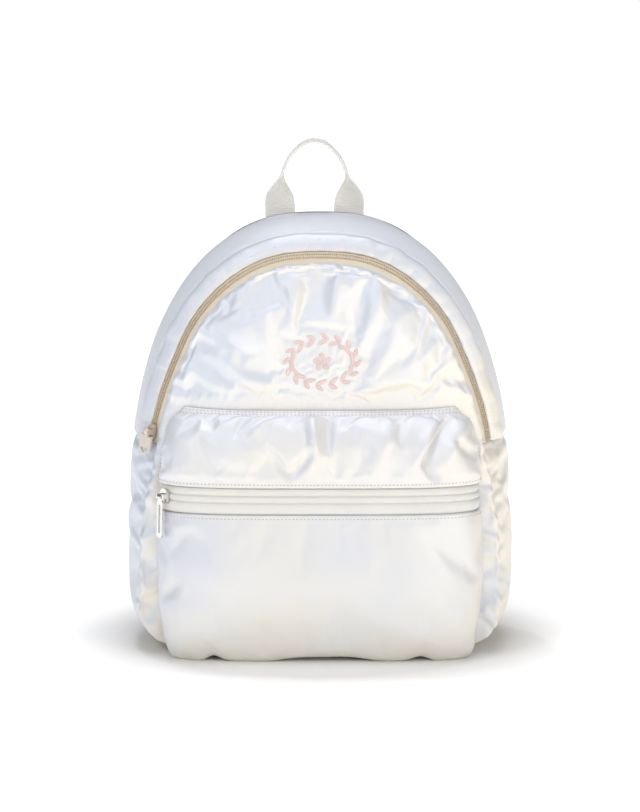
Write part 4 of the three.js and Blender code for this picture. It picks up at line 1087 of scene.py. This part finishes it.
# Folds of the yoke and the pouch: ends across and up, widths and heights, in metres
yoke_folds = [
    {"from": (0.094, 0.176), "to": (0.074, 0.140), "width": 0.0040, "rise": -0.0068},
    {"from": (0.077, 0.150), "to": (0.085, 0.122), "width": 0.0036, "rise": -0.0052},
    {"from": (0.104, 0.172), "to": (0.086, 0.138), "width": 0.0050, "rise": 0.0036},
    {"from": (0.084, 0.174), "to": (0.064, 0.142), "width": 0.0050, "rise": 0.0030},
    {"from": (0.090, 0.166), "to": (0.112, 0.146), "width": 0.0036, "rise": -0.0034},
    {"from": (-0.006, 0.180), "to": (-0.002, 0.142), "width": 0.0050, "rise": 0.0046},
    {"from": (0.006, 0.178), "to": (0.004, 0.150), "width": 0.0040, "rise": -0.0030},
    {"from": (-0.040, 0.158), "to": (-0.020, 0.132), "width": 0.0036, "rise": -0.0040},
    {"from": (-0.004, 0.156), "to": (-0.024, 0.132), "width": 0.0036, "rise": -0.0038},
    {"from": (-0.092, 0.166), "to": (-0.074, 0.136), "width": 0.0060, "rise": -0.0020},
    {"from": (0.050, 0.176), "to": (0.036, 0.132), "width": 0.0070, "rise": 0.0022},
]
pouch_folds = [
    {"from": (0.050, 0.078), "to": (0.108, 0.016), "width": 0.0110, "rise": 0.0026},
    {"from": (0.012, 0.046), "to": (0.092, 0.008), "width": 0.0090, "rise": 0.0020},
    {"from": (-0.100, 0.086), "to": (-0.060, 0.050), "width": 0.0100, "rise": 0.0016},
    {"from": (0.070, 0.104), "to": (0.112, 0.060), "width": 0.0080, "rise": -0.0016},
    {"from": (-0.108, 0.050), "to": (-0.074, 0.012), "width": 0.0090, "rise": 0.0018},
]
pouch_lift_end = 5 / 8
welt_width = 0.0036
welt_dip = 0.0006
floor_free = 0.006
# Lengths of the seams that gathers run from: round the pocket, and down a side of each part
round_length = 0.33
pouch_side_length = 0.16
yoke_side_length = 0.06
pocket_crowding = 0.05


def lifts_along(lifts, u):
    """Sum of some lifts at places round the pocket."""
    return sum(row["rise"] * np.exp(-(((u - row["across"]) / row["width"]) ** 2)) for row in lifts)


def welted(off, width):
    """Depth of a flat stitched edge, by the distance from it: flat, then rising to the full cloth."""
    return welt_dip * (1 - smoothstep(off, width * 0.8, width * 2.6))


# Painted light: the first and last colours are weaker painted cool and warm tints by facing, the middle one
# the own colour
calm_colours = [(0.79, 0.81, 0.88), (0.85, 0.85, 0.84), (0.88, 0.85, 0.79)]
pearl_calm = pearl_nylon("pearl_nylon_calm", *calm_colours, crinkle=0.2)
pouch_columns = 140
pouch_rows = 56
pouch_end = below_zip - station_gap
u, v, station, cells, rim, far = pocket_skin(pouch_columns, pouch_rows, 0.0, pouch_end, pocket_crowding)
left_off, right_off, base_off, zip_off = far
swell = np.sin(np.pi * np.minimum(1, v / pouch_lift_end))
lift = lifts_along(pouch_lifts, u) * swell
side_off = np.minimum(left_off, right_off)
past_welt = np.maximum(zip_off - welt_width, 0)
past_base = np.maximum(base_off - 0.01, 0)
gathers = ridges(left_off, past_welt, round_length, seed=61, pitch=0.021, height=0.0004, reach=0.010)
gathers += ridges(base_off, side_off, pouch_side_length, seed=62, pitch=0.016, height=0.0011, reach=0.016)
broad = ridges(left_off, past_base, round_length, seed=63, pitch=0.06, height=0.0014, reach=0.03)
depth = edge_dips(side_off, base_off) + welted(zip_off, welt_width) - gathers - broad
plain = pocket_point(u, station)
depth -= fold_rise(pouch_folds, plain[:, 0], plain[:, 2])
outer = pocket_point(u, station, depth, lift)
outer[:, 2] = np.maximum(outer[:, 2], 0.0)
sewn = 1 - smoothstep(np.minimum.reduce([side_off, base_off, zip_off]), sewn_from, sewn_to)
held = np.maximum(sewn, 1 - smoothstep(plain[:, 2], 0.001, floor_free))
outer = settled(outer, cells, held, pressure=2.0, spare=0.006, frames=20, bending=2.0)
outer[:, 2] = np.maximum(outer[:, 2], 0.0)
rim_share = np.minimum(1, np.minimum((1 - v) * 4, v * 6))
inner = pocket_point(u, station, seam_thickness + (pocket_wall - seam_thickness) * rim_share, lift)
flat = np.column_stack([left_off, base_off])
pouch = closed_piece("pocket_pouch_cloth", outer, inner, cells, rim, flat, pearl_calm)
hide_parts("pocket_pouch")
pouch_skin, pouch_zip_off = outer, zip_off

yoke_columns = 150
yoke_rows = 32
yoke_welt = 0.0068
yoke_start = above_zip + station_gap
u, v, station, cells, rim, far = pocket_skin(yoke_columns, yoke_rows, yoke_start, top_seam, pocket_crowding)
left_off, right_off, zip_off, top_off = far
side_off = np.minimum(left_off, right_off)
plain = pocket_point(u, station)
past_top = np.maximum(top_off - yoke_welt, 0)
past_welt = np.maximum(zip_off - welt_width, 0)
faded = smoothstep(np.minimum(zip_off, top_off), 0.002, 0.012)
fold = -fold_rise(yoke_folds, plain[:, 0], plain[:, 2]) * faded
gathers = ridges(left_off, past_top, round_length, seed=71, pitch=0.017, height=0.0006, reach=0.012)
gathers += ridges(left_off, past_welt, round_length, seed=72, pitch=0.019, height=0.0004, reach=0.010)
gathers += ridges(top_off, side_off, yoke_side_length, seed=73, pitch=0.016, height=0.0012, reach=0.018)
depth = dipped(side_off) + welted(zip_off, welt_width) + welted(top_off, yoke_welt) + fold - gathers
outer = pocket_point(u, station, depth)
seam_off = np.minimum.reduce([side_off, top_off - yoke_welt / 2, zip_off - welt_width / 2])
held = 1 - smoothstep(seam_off, sewn_from, 0.005)
outer = settled(outer, cells, held, pressure=2.5, spare=0.022, frames=20, bending=1.0)
wall = seam_thickness + (pocket_wall - seam_thickness) * np.sin(np.pi * v)
inner = pocket_point(u, station, wall + fold)
flat = np.column_stack([left_off, zip_off])
yoke = closed_piece("pocket_yoke_cloth", outer, inner, cells, rim, flat, pearl_calm)
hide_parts("pocket_yoke")
yoke_skin, yoke_top_off, yoke_zip_off = outer, top_off, zip_off
yoke_left_off, yoke_right_off = left_off, right_off

# Pocket zip
# A zip with its coil turned inwards: smooth tape on the outside, in flat ribs with fine grooves
# between them, round the whole pocket.
pocket_zip_thickness = 0.0026
pocket_zip_ribs = 3
pocket_rib_height = 0.0011
zip_white = woven("pocket_zip_tape", (0.87, 0.86, 0.82), 0.0007, roughness=0.45)
ribbon_columns = 130
ribbon_rows = 76
tuck = 0.045
rib_flatness = 0.35
rib_top = 1.0
groove_bottom = -1.6
ends = below_zip - tuck, above_zip + tuck
u, v, station, cells, rim, far = pocket_skin(ribbon_columns, ribbon_rows, *ends, 0.0)
ribbed = np.clip((station - below_zip) / (above_zip - below_zip), 0, 1)
swell = np.abs(np.sin(np.pi * pocket_zip_ribs * ribbed)) ** rib_flatness
rib = (rib_top - groove_bottom) * swell + groove_bottom
outer = pocket_point(u, station, zip_recess - pocket_rib_height * rib)
inner = pocket_point(u, station, zip_recess + pocket_zip_thickness)
flat = np.column_stack([far[0], far[2]])
pocket_zip = closed_piece("pocket_zip_tape", outer, inner, cells, rim, flat, zip_white, smooth=0)
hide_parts("pocket_zip")

# Stitches
# Lock stitches. In cream thread: two rows along the pocket's welt, one on each side of its zip and
# one down each side of the yoke. In pale thread: one along the top band's edge and one on the flap.
stitch_sizes = {"Pitch": 0.0027, "Length": 0.0018, "Width": 0.00075, "Height": 0.00065}
pale_sizes = {"Pitch": 0.0027, "Length": 0.0018, "Width": 0.00055, "Height": 0.00050}
thread = woven("sewing_thread", (0.64, 0.58, 0.48), 0.0004, roughness=0.6)
stitch_tree = repeat_tree("stitches", thread)
pale_thread = woven("pale_sewing_thread", (0.80, 0.79, 0.78), 0.0004, roughness=0.6)
pale_tree = repeat_tree("pale_stitches", pale_thread)


def line_on(skin, off, columns, rows, distance, down_side=False):
    """A line on a strip's skin at some distance from one of its edges, with its outward directions.
    The edge is one of its two short ones if down_side is set."""
    grid = skin.reshape(columns + 1, rows + 1, 3)
    far_off = off.reshape(columns + 1, rows + 1)
    normals = strip_normals(skin, columns, rows)
    if down_side:
        grid, far_off, normals = grid.swapaxes(0, 1), far_off.T, normals.swapaxes(0, 1)
    points, facing = [], []
    for c in range(len(grid)):
        order = np.argsort(far_off[c])
        points.append([np.interp(distance, far_off[c][order], grid[c, order, k]) for k in range(3)])
        facing.append([np.interp(distance, far_off[c][order], normals[c, order, k]) for k in range(3)])
    points, facing = np.array(points), np.array(facing)
    return points[1:-1], facing[1:-1]


def outwards(lines, hub):
    """The same lines with their directions turned away from a hub."""
    result = []
    for points, facing in lines:
        away = np.sum((points - hub) * facing, axis=1, keepdims=True)
        result.append((points, facing * np.sign(away)))
    return result


pocket_hub = np.array([0.0, -0.03, 0.09])
body_hub = np.array([0.0, 0.0, 0.12])
yoke_net = (yoke_columns, yoke_rows)
pocket_rows = [
    line_on(yoke_skin, yoke_top_off, *yoke_net, distance=0.0022),
    line_on(yoke_skin, yoke_top_off, *yoke_net, distance=0.0050),
    line_on(yoke_skin, yoke_zip_off, *yoke_net, distance=0.0026),
    line_on(pouch_skin, pouch_zip_off, pouch_columns, pouch_rows, distance=0.0026),
    line_on(yoke_skin, yoke_left_off, *yoke_net, distance=0.0030, down_side=True),
    line_on(yoke_skin, yoke_right_off, *yoke_net, distance=0.0030, down_side=True),
]
band_rows_sewn = [
    line_on(band_skin, band_front_off, band_columns, band_rows, distance=0.0030),
    line_on(flap_skin, flap_front_off, flap_columns, flap_rows, distance=0.0026),
]
pocket_stitches = run_along("pocket_stitches", outwards(pocket_rows, pocket_hub), stitch_tree, stitch_sizes)
band_stitches = run_along("band_stitches", outwards(band_rows_sewn, body_hub), pale_tree, pale_sizes)

# Embroidery
# A small wreath of leaves round a blossom in pale pink satin stitch, sewn through the front panel.
pink = woven("embroidery_thread", (1.0, 0.80, 0.77), 0.0005, roughness=0.45)
wreath_across = 0.0235
wreath_up = 0.0165
leaf_count = 16
leaf_length = 0.0088
leaf_width = 0.0030
petal_count = 5
petal_length = 0.0052
petal_width = 0.0042
strand_width = 0.00042
strand_lift = 0.00040
strand_sides = 5
strand_steps = 5
leaf_spread = 0.55
inner_leaf_share = 0.8
petal_start = 0.0016
knot_size = 0.0026


def satin(place, angle, length, width):
    """Strands of a satin stitched leaf: each is a pair of ends across the leaf."""
    count = max(4, int(length / (strand_width * 0.82)))
    along = (np.arange(count) + 0.5) / count
    half = width / 2 * np.sin(np.pi * along) ** 0.75
    turn = np.array([[math.cos(angle), -math.sin(angle)], [math.sin(angle), math.cos(angle)]])
    strands = []
    for s, h in zip(along * length, half):
        pair = np.array([[s - 0.35 * h, -h], [s + 0.35 * h, h]])
        strands.append(np.asarray(place) + pair @ turn.T)
    return strands


def thread_tubes(name, strands, ground, material):
    """Threads laid over a piece from end to end: each is a thin tube that bulges from the cloth."""
    sides, steps = strand_sides, strand_steps
    verts, faces = [], []
    for strand in strands:
        share = np.linspace(0, 1, steps + 1)
        flat = strand[0] + (strand[1] - strand[0]) * share[:, None]
        line = []
        for (x, z), t in zip(flat, share):
            hit = ground.ray_cast(Vector((x, -0.3, z)), Vector((0, 1, 0)))
            line.append(hit[0] + hit[1] * (strand_lift * math.sin(math.pi * t) ** 0.5))
        line = np.array(line)
        along = np.gradient(line, axis=0)
        along /= np.linalg.norm(along, axis=1, keepdims=True)
        out = np.array([0.0, -1.0, 0.0]) - along * along[:, 1:2] * -1.0
        out /= np.linalg.norm(out, axis=1, keepdims=True)
        side = np.cross(along, out)
        base = len(verts)
        for k, centre in enumerate(line):
            for j in range(sides):
                turn = 2 * math.pi * j / sides
                verts.append(centre + strand_width / 2 * (side[k] * math.cos(turn) + out[k] * math.sin(turn)))
        for k in range(steps):
            for j in range(sides):
                a, b = base + k * sides + j, base + k * sides + (j + 1) % sides
                faces.append((a, b, b + sides, a + sides))
        faces.append(tuple(base + j for j in reversed(range(sides))))
        faces.append(tuple(base + steps * sides + j for j in range(sides)))
    return mesh_piece(name, verts, faces, material)


graph = bpy.context.evaluated_depsgraph_get()
ground = BVHTree.FromObject(front_panel, graph)
strands = []
for k in range(leaf_count):
    angle = 2 * math.pi * (k + 0.5) / leaf_count
    place = (
        badge_place[0] + wreath_across * math.cos(angle),
        badge_place[1] + wreath_up * math.sin(angle),
    )
    run = math.atan2(wreath_up * math.cos(angle), -wreath_across * math.sin(angle))
    strands += satin(place, run + leaf_spread, leaf_length, leaf_width)
    strands += satin(place, run - leaf_spread, leaf_length * inner_leaf_share, leaf_width)
for k in range(petal_count):
    angle = math.pi / 2 + 2 * math.pi * k / petal_count
    start = (badge_place[0] + petal_start * math.cos(angle), badge_place[1] + petal_start * math.sin(angle))
    strands += satin(start, angle, petal_length, petal_width)
strands += satin((badge_place[0] - knot_size / 2, badge_place[1]), 0.0, knot_size, knot_size)
ornament = thread_tubes("embroidered_wreath", strands, ground, pink)

# Grab handle
# Ribbed webbing, flat where it is sewn into the back seam and turned on edge over the top.
handle_span = 0.0505
handle_rise = 0.050
handle_tail = 0.016
handle_shift = -0.004
handle_flat = 0.015
handle_twist = 0.030
handle_webbing = 0.022
handle_thickness = 0.0022
line_tension = 0.5
line_steps = 6001
webbing_rib = 0.00145
webbing_rib_height = 0.00026
webbing_roundness = 0.5
rib_sections = 6
handle_line = [(1.0, 0.0), (1.03, 0.25), (0.97, 0.47), (0.74, 0.75), (0.36, 0.95), (0.0, 1.0)]
webbing_cloth = woven("ribbed_webbing", (0.97, 0.95, 0.90), 0.0006, roughness=0.9)


def even_line(points, steps):
    """Places at even steps on the smooth curve through some points, its directions and its length."""
    points = np.asarray(points, float)
    fine = spline_at(points, np.linspace(0, len(points) - 1, line_steps), line_tension)
    length = np.concatenate([[0], np.cumsum(np.linalg.norm(np.diff(fine, axis=0), axis=1))])
    at = np.linspace(0, length[-1], steps + 1)
    line = np.stack([np.interp(at, length, fine[:, k]) for k in range(3)], axis=1)
    along = np.gradient(line, axis=0)
    return line, along / np.linalg.norm(along, axis=1, keepdims=True), length[-1]


def swept_piece(name, line, along, across, rings, material):
    """A closed piece swept along a line. rings gives each section's outline as places across and
    off the line, and across the direction of the section's width."""
    across = across - along * np.sum(across * along, axis=1, keepdims=True)
    across = across / np.linalg.norm(across, axis=1, keepdims=True)
    normal = np.cross(along, across)
    verts = line[:, None] + across[:, None] * rings[..., :1] + normal[:, None] * rings[..., 1:]
    steps, sides = rings.shape[:2]
    ids = np.arange(steps * sides).reshape(steps, sides)
    after = np.roll(ids, -1, axis=1)
    faces = np.stack([ids[:-1], after[:-1], after[1:], ids[1:]], axis=-1).reshape(-1, 4).tolist()
    faces += [ids[0, ::-1].tolist(), ids[-1].tolist()]
    length = np.concatenate([[0], np.cumsum(np.linalg.norm(np.diff(line, axis=0), axis=1))])
    flat = np.stack([np.broadcast_to(length[:, None], (steps, sides)), rings[..., 0]], axis=-1)
    return mesh_piece(name, verts.reshape(-1, 3), faces, material, flat.reshape(-1, 2))


def webbing_rings(steps, length, width, thickness, sides):
    """Sections of ribbed webbing: flat with round edges, thicker on each rib."""
    turn = 2 * np.pi * np.arange(sides) / sides
    across = np.sign(np.cos(turn)) * np.abs(np.cos(turn)) ** webbing_roundness * width / 2
    off = np.sign(np.sin(turn)) * np.abs(np.sin(turn)) ** webbing_roundness
    place = np.linspace(0, length, steps + 1)
    rib = webbing_rib_height * np.abs(np.sin(np.pi * place / webbing_rib)) ** 0.8 - webbing_rib_height
    half = thickness / 2 + rib[:, None]
    rings = np.empty((steps + 1, sides, 2))
    rings[..., 0] = across + np.sign(across) * rib[:, None] * np.abs(across / (width / 2)) ** 6
    rings[..., 1] = off * half
    return rings


def rib_steps(length):
    """Steps that give each rib of some webbing the same number of sections."""
    return int(round(length / webbing_rib)) * rib_sections


seam_height = body_height * (1 - seam_insets[-1]["back"] * body_depth / body_height)
handle_y = back_skin(handle_span / 2, seam_height - handle_tail) + seam_gap + handle_thickness / 2
rising = [(-a * handle_span / 2, handle_y, seam_height + up * handle_rise) for a, up in handle_line]
left_side = [(-handle_span / 2, handle_y, seam_height - handle_tail), *rising]
right_side = [(-x, y, z) for x, y, z in left_side[-2::-1]]
points = np.array(left_side + right_side) + (handle_shift, 0, 0)
_, _, handle_length = even_line(points, 1)
steps = rib_steps(handle_length)
line, along, _ = even_line(points, steps)
share = np.linspace(0, 1, steps + 1)
from_end = np.minimum(share, 1 - share) * handle_length
turn = np.pi / 2 * smoothstep(from_end, handle_flat, handle_flat + handle_twist)
in_plane = np.stack([along[:, 2], 0 * turn, -along[:, 0]], axis=1)
across = in_plane * np.cos(turn)[:, None] + np.array([0.0, 1.0, 0.0]) * np.sin(turn)[:, None]
rings = webbing_rings(steps, handle_length, handle_webbing, handle_thickness, sides=30)
handle = swept_piece("handle_webbing", line, along, across, rings, webbing_cloth)
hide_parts("handle")

# Shoulder straps
# Padded nylon straps with a bound edge, sewn into the back near the top. At the foot of each a
# webbing tab holds a moulded ladder buckle, and webbing from the base seam runs through it.
strap_width = 0.046
strap_thickness = 0.008
strap_end_share = 0.55
strap_end_length = 0.018
strap_top_drop = 0.027
strap_top_spacing = 0.068
strap_foot_height = 0.092
strap_foot_spacing = 0.158
strap_bow = 0.024
strap_foot_straight = 0.012
strap_taper = 0.8
pad_squareness = 0.45
strap_line = [(0.08, 0.0), (0.28, 0.62), (0.55, 1.0), (0.8, 0.72)]
webbing_width = 0.020
webbing_thickness = 0.0016
anchor_inset = 0.040
anchor_height = 0.028
buckle_bar = 0.0032
buckle_slot = 0.0044
buckle_thickness = 0.0036
buckle_drop = 0.0064
tail_length = 0.052
tail_spread = 0.009
tab_margin = 0.0006
foot_lift = 0.007
turn_shares = (0.0, 0.25, 0.5, 0.75, 1.0)
strap_steps = 220
strap_sides = 48
# The bound edge: where it lies across the strap, how wide and how deep its groove is
bound_place = 0.80
bound_width = 0.035
bound_depth = 0.0009
ruffle_place = 0.9
ruffle_width = 0.12
ruffle_height = 0.0004
ruffle_pitch = 0.0045
stitch_lift = 0.36


def on_back(x, z, off):
    """A point some distance off the back panel."""
    return np.array([x, float(back_skin(np.array(x), np.array(z))) + off, z])


def mix(a, b, t):
    """Between a and b by the share t."""
    return a + (b - a) * t


def shoulder_strap(hand, label):
    """One shoulder strap with its tab and webbing, right for hand 1 and left for -1."""
    lying = seam_gap + strap_thickness / 2
    sewn = seam_gap + strap_thickness * strap_end_share / 2
    top_height = body_height - strap_top_drop
    top_x, foot_x = hand * strap_top_spacing / 2, hand * strap_foot_spacing / 2
    span = top_height - strap_foot_height
    foot = on_back(foot_x, strap_foot_height, lying + foot_lift)
    anchor = on_back(hand * (body_width / 2 - anchor_inset), anchor_height, seam_gap + webbing_thickness / 2)
    down = (anchor - foot) / np.linalg.norm(anchor - foot)
    hanging = [
        on_back(mix(top_x, foot_x, t), top_height - span * t, lying + off * strap_bow)
        for t, off in strap_line
    ]
    points = [on_back(top_x, top_height, sewn), *hanging, foot - down * strap_foot_straight, foot]
    line, along, length = even_line(points, strap_steps)
    u = np.linspace(0, 1, strap_steps + 1)
    narrowing = np.maximum(0, u - strap_taper) / (1 - strap_taper)
    width = mix(strap_width, webbing_width + 2 * seam_thickness, narrowing)
    growth = (1 - strap_end_share) * length / strap_end_length
    thick = strap_thickness * np.minimum(1, strap_end_share + growth * np.minimum(u, 1 - u))
    turn = 2 * np.pi * np.arange(strap_sides) / strap_sides
    across = np.sign(np.cos(turn)) * np.abs(np.cos(turn)) ** pad_squareness
    bound = bound_depth * np.exp(-(((np.abs(across) - bound_place) / bound_width) ** 2))
    quilt = ruffle_height * np.sin(u * length / ruffle_pitch + 2.5 * np.sin(u * 37.0))
    rings = np.empty((strap_steps + 1, strap_sides, 2))
    rings[..., 0] = across * width[:, None] / 2
    ruffle = quilt[:, None] * np.exp(-(((np.abs(across) - ruffle_place) / ruffle_width) ** 2))
    rings[..., 1] = np.sin(turn) * (thick[:, None] / 2) - np.sign(np.sin(turn)) * (bound + np.abs(ruffle))
    sideways = np.tile([1.0, 0.0, 0.0], (strap_steps + 1, 1))
    strap = swept_piece("strap_cloth_" + label, line, along, sideways, rings, pearl)
    out = np.cross(along, sideways)
    out *= np.sign(out[:, 1:2])
    raised = line + out * (thick[:, None] * stitch_lift)
    edges = [sideways * (side * (width / 2 * bound_place))[:, None] for side in (-1, 1)]
    lines = [(raised + edge, out) for edge in edges]
    sewn = run_along("strap_stitches_" + label, lines, pale_tree, pale_sizes)
    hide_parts("strap_" + label)

    up = -down
    off = np.cross(up, [1.0, 0.0, 0.0])
    off /= np.linalg.norm(off)
    right = np.cross(off, up)

    def local(y, z):
        """A point of the hardware, y off the back and z up from the strap's foot."""
        return foot + off * y + up * z

    def around(centre, way, radius):
        """Points round a bar of the buckle."""
        turns = [math.pi * t for t in turn_shares]
        return [local(-radius * math.cos(a), centre + way * radius * math.sin(a)) for a in turns]

    def band(name, points, width):
        """A band of ribbed webbing through some points."""
        _, _, length = even_line(points, 1)
        steps = rib_steps(length)
        line, along, _ = even_line(points, steps)
        rings = webbing_rings(steps, length, width, webbing_thickness, sides=20)
        piece = swept_piece(name, line, along, np.tile(right, (steps + 1, 1)), rings, webbing_cloth)
        return piece

    radius = math.hypot(buckle_thickness, buckle_bar) / 2 + seam_gap + webbing_thickness / 2
    cover = strap_thickness * strap_end_share / 2 + seam_gap + webbing_thickness / 2
    tab_top = strap_end_length / 2
    spread = tab_top / strap_end_length * (1 - strap_end_share) * strap_thickness / 2
    bar = -buckle_drop - buckle_bar / 2
    tab_points = [
        local(-cover - spread, tab_top),
        local(-max(cover, radius), 0),
        *around(bar, -1, radius),
        local(max(cover, radius), 0),
        local(cover + spread, tab_top),
    ]
    tab = band("buckle_tab_webbing_" + label, tab_points, webbing_width - 2 * tab_margin)
    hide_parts("buckle_tab_" + label)
    low_bar = -buckle_drop - 3 * buckle_bar - 2 * buckle_slot + buckle_bar / 2
    reach = float(np.linalg.norm(anchor - foot))
    webbing_points = [
        local(0, -reach),
        local(-radius / 3, (low_bar - 2 * reach) / 3),
        local(-radius, low_bar - 2 * radius),
        *around(low_bar, 1, radius),
        local(radius + tail_spread * 2 * radius / tail_length, low_bar - 2 * radius),
        local(radius + tail_spread / 2, low_bar - tail_length / 2),
        local(radius + tail_spread, low_bar - tail_length),
    ]
    webbing = band("adjuster_webbing_" + label, webbing_points, webbing_width)
    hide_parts("webbing_" + label)


shoulder_strap(1, "right")
shoulder_strap(-1, "left")

# Sliders, pulls and buckles
# Hard parts stay as packed, with slightly broken edges. The main zip's tab and the ladder buckles are
# moulded ivory plastic, its slider is painted metal, and the pocket's slider and pull are nickel plated.


def hard_material(name, colour, metallic, roughness, grain):
    """A hard surface with a faint grain."""
    material, tree, shader = new_material(name)
    place = add_node(tree, "ShaderNodeTexCoord").outputs["Object"]
    noise = add_node(tree, "ShaderNodeTexNoise", {"Vector": place, "Scale": grain, "Detail": 3.0})
    span = {"Value": noise.outputs["Fac"], "To Min": roughness * 0.8, "To Max": roughness * 1.25}
    tree.links.new(add_node(tree, "ShaderNodeMapRange", span).outputs[0], shader.inputs["Roughness"])
    fine = {"Height": noise.outputs["Fac"], "Strength": 0.08, "Distance": 0.0002}
    tree.links.new(add_node(tree, "ShaderNodeBump", fine).outputs[0], shader.inputs["Normal"])
    shader.inputs["Base Color"].default_value = (*colour, 1)
    shader.inputs["Metallic"].default_value = metallic
    return material


ivory_plastic = hard_material("ivory_plastic", (0.80, 0.71, 0.64), 0.0, 0.34, 900.0)
tan_metal = hard_material("tan_metal", (0.62, 0.53, 0.42), 0.35, 0.38, 700.0)
nickel = hard_material("nickel_plate", (0.74, 0.73, 0.70), 1.0, 0.16, 500.0)
broken_edge = 0.00025
hard_parts = [
    {"nodes": ("main_pull", "buckle_right", "buckle_left"), "material": ivory_plastic},
    {"nodes": ("main_slider",), "material": tan_metal},
    {"nodes": ("pocket_slider", "pocket_pull"), "material": nickel},
]
for group in hard_parts:
    for label in group["nodes"]:
        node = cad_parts[label]
        node.data.materials.clear()
        node.data.materials.append(group["material"])
        softened = node.modifiers.new("broken edges", "BEVEL")
        softened.width = broken_edge
        softened.segments = 2
        softened.limit_method = "ANGLE"
        softened.angle_limit = math.radians(35)
        softened.harden_normals = True
